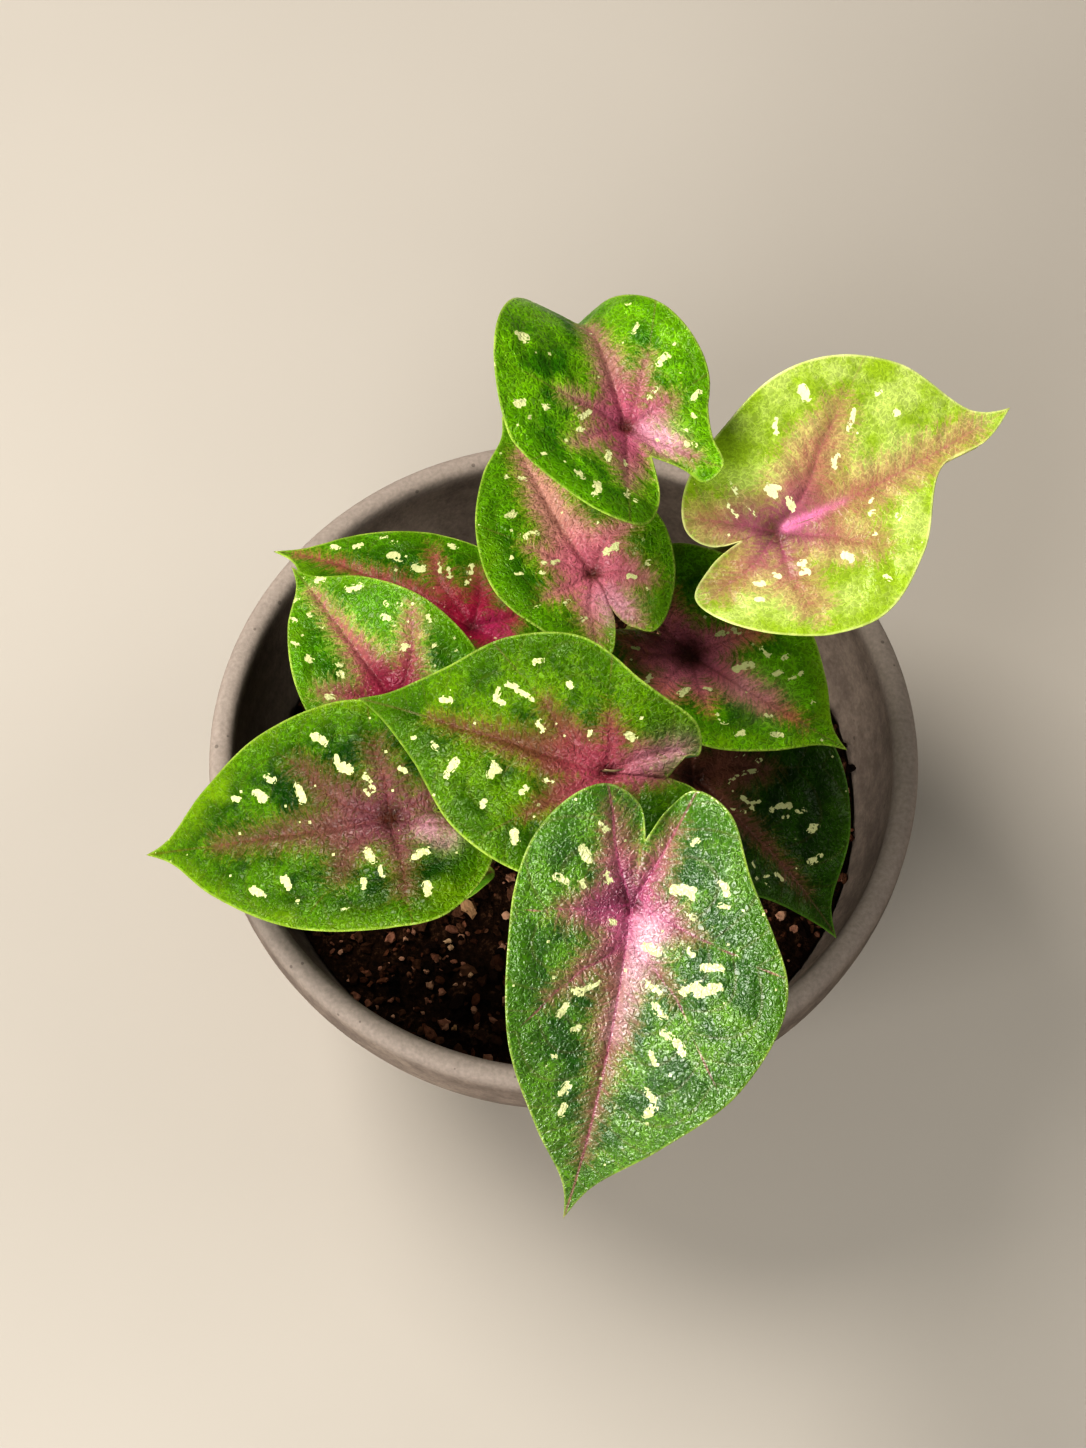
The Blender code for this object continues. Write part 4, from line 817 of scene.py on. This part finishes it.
def veinRelief(one, flat, fields):
    # Height over the plain sheet in mm: grooves that are bell curves of the distance from the
    # midrib, the main veins and the side veins, the blade swelling between them, and slow waves.
    u, v = flat[:, 0], flat[:, 1]
    side, way, reach, edge = fields["side"], fields["way"], fields["reach"], fields["edge"]
    taper = np.clip(1 - reach / one["tip"], 0.1, 1)
    midrib = one["ridge"] * taper * bell(v, blade["midribWidth"]) * (u > one["arms"][0][0][0])
    main = -blade["veinGroove"] * taper * bell(side, blade["veinWidth"])
    spacing = blade["veinSpacing"]
    fromSide = np.abs((way / spacing + 0.5) % 1 - 0.5) * spacing
    swell = (blade["quilt"] * (1 - bell(fromSide, blade["sideVeinWidth"]))
             * (1 - bell(side, blade["quiltFrom"])))
    shift = one["phase"] * 2.3
    cockle = (np.sin(u / 2.1 + v / 3.3 + shift) * np.sin(v / 1.9 - u / 4.1 + 2 * shift)
              + 0.7 * np.sin(u / 4.3 - v / 3.1 + 3 * shift))
    dimple = -blade["dimple"] * bell(reach, blade["dimpleWidth"])
    return (midrib + main + dimple + swell + blade["cockle"] * cockle * 0.5) * np.clip(edge / 2.5, 0.25, 1)


def unit(arrows):
    return arrows / np.maximum(np.linalg.norm(arrows, axis=-1), 1e-12)[..., None]


def leafBlade(name, one, node, finishes):
    # A polar grid from the stalk's end to the margin: spokes run to the outline's points, and
    # rings are shares of them. The top, the rounded margin and the underside are one closed skin.
    rim = leafOutline(one)
    spokes, rings = len(rim), blade["rings"]
    shares = np.linspace(0, 1, rings + 1)[1:] ** blade["ringPower"]
    flat = np.concatenate([[(0, 0)], (shares[:, None, None] * rim).reshape(-1, 2)])
    turn = evenTurns(spokes)
    wave = np.sin(blade["waves"] * turn + one["phase"]) * np.sin(turn / 2)
    wave = blade["wave"] * halfOf(one, "left")["width"] / 25 * np.outer(shares ** 3, wave)
    sheet = bentBlade(one, flat) + np.outer(np.concatenate([[0], wave.ravel()]), leafAxes(one)[2])
    grid = sheet[1:].reshape(rings, spokes, 3)
    outward = np.gradient(np.concatenate([np.broadcast_to(sheet[0], (1, spokes, 3)), grid]), axis=0)[1:]
    normal = unit(np.cross(outward, np.roll(grid, -1, axis=1) - np.roll(grid, 1, axis=1)))
    # The tip and the notch are corners, where the neighbours' direction is better than their own.
    for k in (0, spokes // 2):
        normal[:, k] = unit(normal[:, k - 1] + normal[:, (k + 1) % spokes])
    normals = np.concatenate([unit(normal[0].mean(0))[None], normal.reshape(-1, 3)])
    fields = leafFields(one, flat, rim)
    relief = veinRelief(one, flat, fields)
    thin = (blade["rimThick"] - blade["thick"]) * np.concatenate([[0], np.repeat(shares, spokes)])
    half = (blade["thick"] + thin) / 2
    top = sheet + normals * (half + relief)[:, None]
    under = sheet - normals * (half - relief * 0.85)[:, None]
    # The margin's middle line stands out by a share of the thickness, so that the edge is round.
    last = slice(1 + (rings - 1) * spokes, None)
    margin = (top[last] + under[last]) / 2 + unit(grid[-1] - grid[-2]) * blade["rimThick"] * 0.4
    underRows = list(range(rings - 1, -1, -2))      # the underside has half the rings
    pick = np.concatenate([np.arange(spokes) + 1 + row * spokes for row in underRows])
    order = np.concatenate([np.arange(1, len(flat)), np.arange(len(flat))[last], pick, [0, 0]])
    points = np.concatenate([top[1:], margin, under[pick], top[:1], under[:1]]) * mm
    rows = rings + 1 + len(underRows)
    faces = [group[:, ::-1] for group in stripFaces(rows, spokes)]      # so that they point out
    isUnder = np.repeat(np.arange(rows - 1) > rings, spokes)
    slots = np.concatenate([isUnder, np.zeros(spokes), np.ones(spokes)])
    fields = {key: values[order] for key, values in fields.items()}
    setPiece(newPiece(name, points, faces, finishes, slots, fields, flat[order]), node)
    return relief[0]


# The finish of a blade unless its own look says otherwise. Shares go from 0 to 1, and brightWidth,
# haloWidth, feather, soft, heartSize, roseReach and wrinkle are in mm.
leafLook = dict(
    dark="#1c560a", mid="#3f820e", bright="#5f9a14", brightWidth=7,      # greens, from inside out
    rim="#a9c05a", halo="#84921f", haloWidth=2, haloAmount=0.5,      # the margin, and round the arms
    dusky="#966450", rose="#a64c60", roseReach=17, heart="#480e1a", heartSize=3.5,      # arms, far to near
    # The pale pink colour on the next line is that of painted highlights; painted shade takes the heart's
    # colour unless a look gives its own.
    armShare=0.95, feather=3.4, soft=2.6, glowColour="#e6b0c0",      # the arms' strength and their edges
    veinTint="#7c5048", veinShare=0.3, sideShare=0.08, cream="#d8dca2", dots=3,
    wrinkle=0.15, net=0.6, tissue=0.78, gloss=0.28, coat=0.22, coatGloss=0.13, shine=0.08)
# Repeats per mm. The finest veins of a real leaf are half as far apart; here they're coarse enough
# to show.
leafPattern = dict(streaks=1.7, blotches=0.85, clouds=0.11, warp=0.8, areoles=0.66, strokes=0.62, chips=1.25,
                   dots=0.42, grain=1.0)


def leafSkin(name, look, seed):
    # A living leaf: waxy cuticle over green tissue, satin and finely puckered, so that it glints in
    # small crooked strokes. Rosy arms run out along the veins with feathered edges, and cream
    # strokes and dots show where the tissue has no green.
    look = {**leafLook, **look}
    paint = {key: linear(value) for key, value in look.items() if isinstance(value, str)}
    made, tree = newFinish(name, look["gloss"], 1.45, look["coat"], look["coatGloss"], look["shine"])
    field = {key: add(tree, "Attribute", {}, out="Fac", attribute_name=key)
             for key in ("reach", "side", "way", "rosy", "fleck", "edge", "paintedLight")}
    # The flat blade in mm, moved on for each leaf so that no two share a pattern.
    uv = add(tree, "UVMap", {}, uv_map="flat")
    place = add(tree, "Mapping", {"Vector": uv, "Scale": (mmPerUv, mmPerUv, 1),
                "Location": (seed * 37.0, seed * 23.0, seed * 11.0)})
    # Streaks of 0.5 mm that follow the side veins, blotches of 1 mm and clouds of 9 mm.
    across = add(tree, "CombineXYZ", {"X": field["way"], "Z": seed * 7.0})
    along = add(tree, "VectorMath", (place, (0.2, 0.2, 0.2), across), operation="MULTIPLY_ADD")
    streaks = add(tree, "TexNoise", {"Vector": along, "Scale": leafPattern["streaks"], "Detail": 4.0,
                  "Roughness": 0.65})
    blotches = add(tree, "TexNoise", {"Vector": place, "Scale": leafPattern["blotches"], "Detail": 5.0,
                   "Roughness": 0.75})
    slow = add(tree, "TexNoise", {"Vector": place, "Scale": leafPattern["clouds"], "Detail": 3.0})
    # Areoles: domes of 1.5 mm between the finest veins, with warped borders.
    warp = add(tree, "TexNoise", {"Vector": place, "Scale": leafPattern["warp"], "Detail": 2.0},
               out="Color")
    warped = add(tree, "VectorMath", (warp, (1.7, 1.7, 1.7), place), operation="MULTIPLY_ADD")
    areoles = add(tree, "TexVoronoi", {"Vector": warped, "Scale": leafPattern["areoles"]},
                  feature="DISTANCE_TO_EDGE")
    domes = add(tree, "MapRange", (areoles, 0.0, 0.3), **smooth)
    # Crooked strokes of 0.25 mm where a smooth noise passes its middle value.
    bends = add(tree, "TexNoise", {"Vector": warped, "Scale": leafPattern["strokes"], "Detail": 1.0})
    offMiddle = add(tree, "Math", (bends, 0.5), operation="SUBTRACT")
    fromLine = add(tree, "Math", (offMiddle,), operation="ABSOLUTE")
    strokes = add(tree, "MapRange", (fromLine, 0.045, 0.012), **smooth)

    # Greens: dark inside in clouds, brighter towards the margin.
    mixed = add(tree, "Math", (blotches, 0.35, slow), operation="MULTIPLY_ADD")
    clouds = add(tree, "MapRange", (mixed, 0.58, 0.76))
    wobble = add(tree, "Math", (mixed, 26.0, field["edge"]), operation="MULTIPLY_ADD")
    outer = add(tree, "MapRange", (wobble, look["brightWidth"] + 17.5, 13.0), **smooth)

    # Rosy arms and the olive halo that they fade through, both broken up by streaks and blotches.
    spread = add(tree, "Math", (streaks, blotches), operation="ADD")
    push = add(tree, "Math", (spread, -1.0), operation="ADD")
    depth = add(tree, "Math", (push, 2.4 * look["feather"], field["rosy"]), operation="MULTIPLY_ADD")
    halo = add(tree, "MapRange", (depth, -look["haloWidth"] - 1.6, -look["haloWidth"] + 2.0, 0.0,
               look["haloAmount"]), **smooth)
    inArm = add(tree, "MapRange", (depth, -look["soft"], look["soft"], 0.0, look["armShare"]), **smooth)
    reached = add(tree, "Math", (push, 12.0, field["reach"]), operation="MULTIPLY_ADD")
    far = add(tree, "MapRange", (reached, look["roseReach"] * 0.25, look["roseReach"]), **smooth)
    # Crimson hairs along the streaks, though not close to the heart, and a darker heart.
    beyond = add(tree, "MapRange", (field["reach"], 3.0, 9.0, 0.0, 0.42))
    hairs = add(tree, "MapRange", (streaks, 0.5, 0.36, 0.0, beyond))
    near = add(tree, "Math", (blotches, 4.0, field["reach"]), operation="MULTIPLY_ADD")
    inHeart = add(tree, "MapRange", (near, 2.0 + look["heartSize"], 2.0), **smooth)
    arms = paint["rose"]
    for share, over in ((far, "dusky"), (hairs, "heart"), (inHeart, "heart")):
        arms = add(tree, "Mix", {0: share, 6: arms, 7: paint[over]}, **ofColours)

    # Painted highlights make some places paler, broken up by the streaks, and painted shade makes others
    # darker.
    uneven = add(tree, "Math", (push, 2.0, 1.0), operation="MULTIPLY_ADD")
    paintedHighlight = add(tree, "Math", (field["paintedLight"], uneven), operation="MULTIPLY", use_clamp=True)
    paintedShade = add(tree, "Math", (field["paintedLight"], -1.0), operation="MULTIPLY", use_clamp=True)

    # Main veins are fine lines of about 0.4 mm, and side veins fainter ones that run out from them.
    veinLine = add(tree, "MapRange", (field["side"], 0.1, 0.4, look["veinShare"], 0.0), **smooth)
    fromVein = add(tree, "Math", (field["way"], blade["veinSpacing"] / 2), operation="PINGPONG")
    sideLine = add(tree, "MapRange", (fromVein, 0.08, 0.5, look["sideShare"], 0.0), **smooth)
    # The finest veins between the areoles are paler lines, partly their own paler colour and partly painted
    # glints where raised veins and crooked strokes catch the light; they are stronger in some places than in
    # others.
    cellLines = add(tree, "MapRange", (areoles, 0.12, 0.015, 0.0, 0.7), **smooth)
    net = add(tree, "Math", (cellLines, strokes), operation="MAXIMUM")
    patchy = add(tree, "MapRange", (mixed, 0.54, 0.74, 0.25, look["net"]))
    outOfArm = add(tree, "Math", (inArm, -0.6, 1.0), operation="MULTIPLY_ADD")
    visible = add(tree, "Math", (patchy, outOfArm), operation="MULTIPLY")
    paleNetAndGlints = add(tree, "Math", (net, visible, look["tissue"]), operation="MULTIPLY_ADD")

    # Cream strokes broken into angular cells of 0.8 mm, and dots of 0.3 to 0.8 mm.
    chips = add(tree, "TexVoronoi", {"Vector": place, "Scale": leafPattern["chips"]}, out="Color",
                distance="CHEBYCHEV")
    chip = add(tree, "SeparateColor", {"Color": chips}, out="Green")
    rough = add(tree, "Math", (chip, 0.75, field["fleck"]), operation="MULTIPLY_ADD")
    stroke = add(tree, "MapRange", (rough, 0.5, 0.6))
    cells = add(tree, "TexVoronoi", {"Vector": place, "Scale": leafPattern["dots"]},
                distance="CHEBYCHEV").node
    chance = add(tree, "SeparateColor", {"Color": cells.outputs["Color"]}, out="Red")
    dotSize = add(tree, "MapRange", (chance, 1.0 - 0.05 * look["dots"], 1.0, 0.02, 0.15))
    dotDepth = add(tree, "Math", (dotSize, cells.outputs["Distance"]), operation="SUBTRACT")
    dot = add(tree, "MapRange", (dotDepth, -0.02, 0.02))
    pale = add(tree, "Math", (stroke, dot), operation="MAXIMUM")

    # A paler line of half a millimetre round the margin, fainter here and there.
    rimShare = add(tree, "MapRange", (slow, 0.35, 0.65, 0.25, 0.85))
    rimLine = add(tree, "MapRange", (field["edge"], 0.1, 0.5, rimShare, 0.0))

    # All layers from the deepest green up, among them the painted highlights and painted shade: how much of
    # each shows, its colour, and how it blends.
    skin = paint["dark"]
    for share, over, blend in (
            (clouds, paint["mid"], "MIX"), (outer, paint["bright"], "MIX"), (halo, paint["halo"], "MIX"),
            (inArm, arms, "MIX"), (paintedHighlight, paint["glowColour"], "MIX"),
            (paintedShade, paint.get("sunkColour", paint["heart"]), "MIX"), (veinLine, paint["veinTint"], "MIX"),
            (sideLine, paint["veinTint"], "MIX"), (1.0, paleNetAndGlints, "MULTIPLY"), (pale, paint["cream"], "MIX"),
            (rimLine, paint["rim"], "MIX")):
        skin = add(tree, "Mix", {0: share, 6: skin, 7: over}, blend_type=blend, **ofColours)

    # The domes and strokes, with a fine grain, stand out by about a tenth of a millimetre.
    grain = add(tree, "TexNoise", {"Vector": place, "Scale": leafPattern["grain"], "Detail": 2.0})
    embossed = add(tree, "Math", (strokes, 0.6, domes), operation="MULTIPLY_ADD")
    swell = add(tree, "Math", (grain, 0.8, embossed), operation="MULTIPLY_ADD")
    return dress(made, skin, swell, 1.0, look["wrinkle"], ("Normal", "Coat Normal"))


leafUnder = dict(green="#6f9a5c", lime="#a9bf62", armColour="#a98479", veinColour="#b3a27a", mottleSize=2)


def leafBack(name, green):
    # The leaf's underside: paler, matt and without the wax, with raised veins that carry some rose.
    made, tree = newFinish(name, 0.6, 1.42)
    side, rosy = (add(tree, "Attribute", {}, out="Fac", attribute_name=key) for key in ("side", "rosy"))
    uv = add(tree, "UVMap", {}, uv_map="flat")
    place = add(tree, "Mapping", {"Vector": uv, "Scale": (mmPerUv, mmPerUv, 1)})
    mottle = add(tree, "TexNoise", {"Vector": place, "Scale": 1 / leafUnder["mottleSize"], "Detail": 4.0})
    shade = add(tree, "MapRange", (mottle, 0.25, 0.75, 0.8, 1.15))
    inArm = add(tree, "MapRange", (rosy, -1.0, 1.5, 0.0, 0.6), **smooth)
    line = add(tree, "MapRange", (side, 0.3, 0.9, 0.6, 0.0))
    skin = linear(green)
    for share, over, blend in ((inArm, linear(leafUnder["armColour"]), "MIX"),
                               (line, linear(leafUnder["veinColour"]), "MIX"), (1.0, shade, "MULTIPLY")):
        skin = add(tree, "Mix", {0: share, 6: skin, 7: over}, blend_type=blend, **ofColours)
    return dress(made, skin, mottle, 0.5, 0.4)


# Tuber: a flattened corky ball in the soil. Lengths in mm.
tuber = dict(radius=19, middle=36, rise=12, crackSize=3, crackDepth=1.2,
             colours=((0.3, "#3b2719"), (0.5, "#6e4c34"), (0.72, "#94704f")))


def tuberHeight(x, y, extra):  # the tuber's top, with the tuber grown by extra
    away = np.minimum(1, np.hypot(x, y) / (tuber["radius"] + extra))
    return tuber["middle"] + (tuber["rise"] + extra) * np.sqrt(1 - away ** 2)


def tuberSkin():
    # Corky tuber skin: brown and matt, with blotches and fine cracks.
    made, tree = newFinish("corky tuber skin", 0.85, 1.45)
    spot = add(tree, "TexCoord", {}, out="Object")
    cork = add(tree, "TexNoise", {"Vector": spot, "Scale": 1 / (tuber["crackSize"] * mm), "Detail": 6.0,
               "Roughness": 0.7})
    shade = add(tree, "ValToRGB", {"Fac": cork}, stops=tuber["colours"])
    return dress(made, shade, cork, 0.8, tuber["crackDepth"])


# Stalks: round and fleshy, smooth, with long fine streaks. Lengths in mm.
stalk = dict(footRadius=1.9, topRadius=1.15, fullLength=72, upright=1.5, outwardLean=0.12, leavingShare=0.4,
             arrivingShare=0.3, sides=24, steps=70, buriedSteps=4, tubeGap=0.3, sheath=9,
             sheathSwell=0.16, flare=0.4, flareLength=0.9,
             green="#6d7f33", pale="#97a258", streakColour="#7a4a3a", footColour="#b59a86")


def stalkSkin():
    # Fleshy leaf stalk: smooth satin skin, olive green, with brownish rosy streaks along it and a
    # paler, pinker foot.
    made, tree = newFinish("caladium stalk skin", 0.38, 1.42, 0.12, 0.25)
    uv = add(tree, "UVMap", {}, uv_map="flat")
    place = add(tree, "Mapping", {"Vector": uv, "Scale": (mmPerUv, mmPerUv, 1)})
    stretched = add(tree, "VectorMath", (place, (0.12, 1.6, 1.0)), operation="MULTIPLY")
    streaks = add(tree, "TexNoise", {"Vector": stretched, "Scale": 1.0, "Detail": 4.0, "Roughness": 0.65})
    tone = add(tree, "Attribute", {}, out="Fac", attribute_name="way")
    streaky = add(tree, "MapRange", (streaks, 0.47, 0.66, 0.0, 0.75))
    low = add(tree, "MapRange", (tone, 0.25, 0.0, 0.0, 0.7))
    skin = linear(stalk["green"])
    for share, over in ((tone, "pale"), (streaky, "streakColour"), (low, "footColour")):
        skin = add(tree, "Mix", {0: share, 6: skin, 7: linear(stalk[over])}, **ofColours)
    return dress(made, skin, streaks, 0.35, 0.3)


def leafStalk(name, one, node, finish, seat):
    # A round tube along a cubic curve from the soil to the blade. Its radius falls evenly with the
    # way along it, swells at the foot into a short sheath and flares where it meets the blade.
    ahead, left, up = leafAxes(one)
    at, bow, buried = np.array(one["at"]), np.array([*one["bow"], 0]), stalk["buriedSteps"]
    footX, footY = stalkFoot(one)
    foot = np.array([footX, footY, float(soilTop(footX, footY)) + stalk["upright"]])
    end = at - up * (0.4 + soil["gap"])
    length = np.linalg.norm(end - foot)
    outward = np.array([footX, footY, 0]) / math.hypot(footX, footY)
    leaving = np.array([0, 0, 1]) + stalk["outwardLean"] * outward
    leaving = foot + leaving * length * stalk["leavingShare"] + bow
    arriving = end - (0.85 * up + one["lean"] * ahead) * length * stalk["arrivingShare"] + bow * 0.6
    end = at + up * (seat - 0.2)      # inside the blade, which dips there by seat
    s = np.linspace(0, 1, stalk["steps"])[:, None]
    line = ((1 - s) ** 3 * foot + 3 * s * (1 - s) ** 2 * leaving + 3 * s ** 2 * (1 - s) * arriving
            + s ** 3 * end)
    root = np.array([footX, footY, float(tuberHeight(footX, footY, stalk["tubeGap"]))])
    line = np.concatenate([root + (foot - root) * np.linspace(0, 1, buried + 1)[:-1, None], line])
    way = np.concatenate([[0], np.cumsum(np.linalg.norm(np.diff(line, axis=0), axis=1))])
    fromFoot, toEnd = way - way[buried], way[-1] - way
    above = np.clip(fromFoot / fromFoot[-1], 0, 1)
    radius = stalk["footRadius"] + (stalk["topRadius"] - stalk["footRadius"]) * above
    radius *= 0.55 + 0.45 * min(1.0, length / stalk["fullLength"])      # a short stalk is a thin one
    sheath = np.exp(-np.maximum(0, fromFoot) / stalk["sheath"]) * (fromFoot >= -2)
    radius *= 1 + stalk["sheathSwell"] * sheath
    radius *= 1 + stalk["flare"] * np.exp(-toEnd / stalk["flareLength"])
    forward = np.gradient(line, axis=0)
    forward[:buried + 1] = (0, 0, 1)
    forward[-1] = up
    forward = unit(forward)
    # The ring's first direction is the blade's own left, made square to the tube at each step.
    first = unit(left - forward * (forward @ left)[:, None])
    second = np.cross(forward, first)
    turn = evenTurns(stalk["sides"])
    # A shallow channel on one side.
    channel = 1 - 0.1 * np.exp(-((turn + 0.6) % fullTurn - math.pi) ** 2 / 0.3)
    ringX, ringY = (np.cos(turn) * channel)[:, None], (np.sin(turn) * channel)[:, None]
    rings = line[:, None] + radius[:, None, None] * (ringX * first[:, None] + ringY * second[:, None])
    rows, sides = rings.shape[:2]
    points = np.concatenate([rings.reshape(-1, 3), line[:1], line[-1:]]) * mm
    flat = np.stack([np.repeat(way, sides), np.tile(turn, rows) * 1.5 + one["phase"] * 5], -1)
    flat = np.concatenate([flat, flat[:1], flat[-1:]])
    tone = np.concatenate([np.repeat(above, sides), [0, 1]])
    piece = newPiece(name, points, stripFaces(rows, sides), [finish], fields=dict(way=tone), flat=flat)
    return setPiece(piece, node)


# Stage, light and camera. Lengths in metres, light powers in watts.
stage = dict(floorColour="#b2aca3", floorSize=6.0, floorDrop=0.0003, world="#f3f2ee", worldStrength=0.19,
             lightAim=(0, 0, 0.09),
             lights=dict(keyLight=dict(place=(-0.62, 0.36, 0.95), size=0.6, power=11, colour="#fffaf4"),
                         fillLight=dict(place=(-0.56, -0.8, 0.6), size=0.72, power=10, colour="#fffdfa"),
                         liftLight=dict(place=(0.85, 0.15, 0.8), size=0.7, power=2.2, colour="#fffcf8")))
view = dict(target=(-0.00465, 0.00682, 0.08), elevation=65.41, distance=0.85, lens=93.74)


def studioFloor():
    # Matt painted board, very faintly cloudy.
    x, y = np.meshgrid(*[np.linspace(-stage["floorSize"], stage["floorSize"], 3)] * 2)
    points = np.stack([x.ravel(), y.ravel(), np.full(9, -stage["floorDrop"])], -1)
    corners = np.array([(0, 1, 4, 3), (1, 2, 5, 4), (3, 4, 7, 6), (4, 5, 8, 7)])
    made, tree = newFinish("pale studio floor", 0.75, 1.45)
    spot = add(tree, "TexCoord", {}, out="Object")
    clouds = add(tree, "TexNoise", {"Vector": spot, "Scale": 6.0, "Detail": 3.0})
    shade = add(tree, "MapRange", (clouds, 0.0, 1.0, 0.94, 1.04))
    tinted = add(tree, "Mix", {0: 1.0, 6: linear(stage["floorColour"]), 7: shade}, blend_type="MULTIPLY",
                 **ofColours)
    newPiece("studioFloor", points, [corners], [dress(made, tinted)])


def studioLight():
    scene = bpy.context.scene
    scene.world = bpy.data.worlds.new("studio light")
    scene.world.use_nodes = True
    background = scene.world.node_tree.nodes["Background"]
    background.inputs["Color"].default_value = linear(stage["world"])
    background.inputs["Strength"].default_value = stage["worldStrength"]
    for name, light in stage["lights"].items():
        lamp = bpy.data.lights.new(name, "AREA")
        lamp.shape, lamp.size = "DISK", light["size"]
        lamp.energy, lamp.color = light["power"], linear(light["colour"])[:3]
        lit = bpy.data.objects.new(name, lamp)
        lit.location = light["place"]
        x, y, z = np.subtract(light["place"], stage["lightAim"])
        lit.rotation_euler = (math.atan2(math.hypot(x, y), z), 0, math.atan2(x, -y))
        scene.collection.objects.link(lit)
    scene.view_settings.view_transform = "Standard"
    scene.view_settings.look = "High Contrast"


def photoCamera():
    made = bpy.data.cameras.new("photoCamera")
    made.lens, made.clip_start = view["lens"], 0.01
    camera = bpy.data.objects.new("photoCamera", made)
    lean = math.radians(view["elevation"])
    target, distance = view["target"], view["distance"]
    camera.location = (target[0], target[1] - distance * math.cos(lean),
                       target[2] + distance * math.sin(lean))
    camera.rotation_euler = (math.pi / 2 - lean, 0, 0)
    bpy.context.scene.collection.objects.link(camera)
    bpy.context.scene.camera = camera


clayBowl()
print("bowl done")

soilBed()
for name, spec in looseBits.items():
    looseBit(name, spec)
print("soil done")

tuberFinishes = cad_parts["tuber"].data.materials
tuberFinishes.clear()
tuberFinishes.append(tuberSkin())
print("tuber done")

backs = dict(green=leafBack("leaf underside", leafUnder["green"]),
             lime=leafBack("lime leaf underside", leafUnder["lime"]))
stalkFinish = stalkSkin()
for number, (key, one) in enumerate(leaves.items()):
    capital = key[0].upper() + key[1:]
    node = {"backHigh": "back_high", "backLow": "back_low", "rightLow": "right_low"}.get(key, key)
    skin, back = leafSkin("caladium leaf " + key, one["look"], number + 1), backs.get(key, backs["green"])
    seat = leafBlade("leaf" + capital, one, "blade_" + node, [skin, back])
    leafStalk("stalk" + capital, one, "stalk_" + node, stalkFinish, seat)
    print("leaf done:", key)

studioFloor()
studioLight()
photoCamera()
print("stage done")
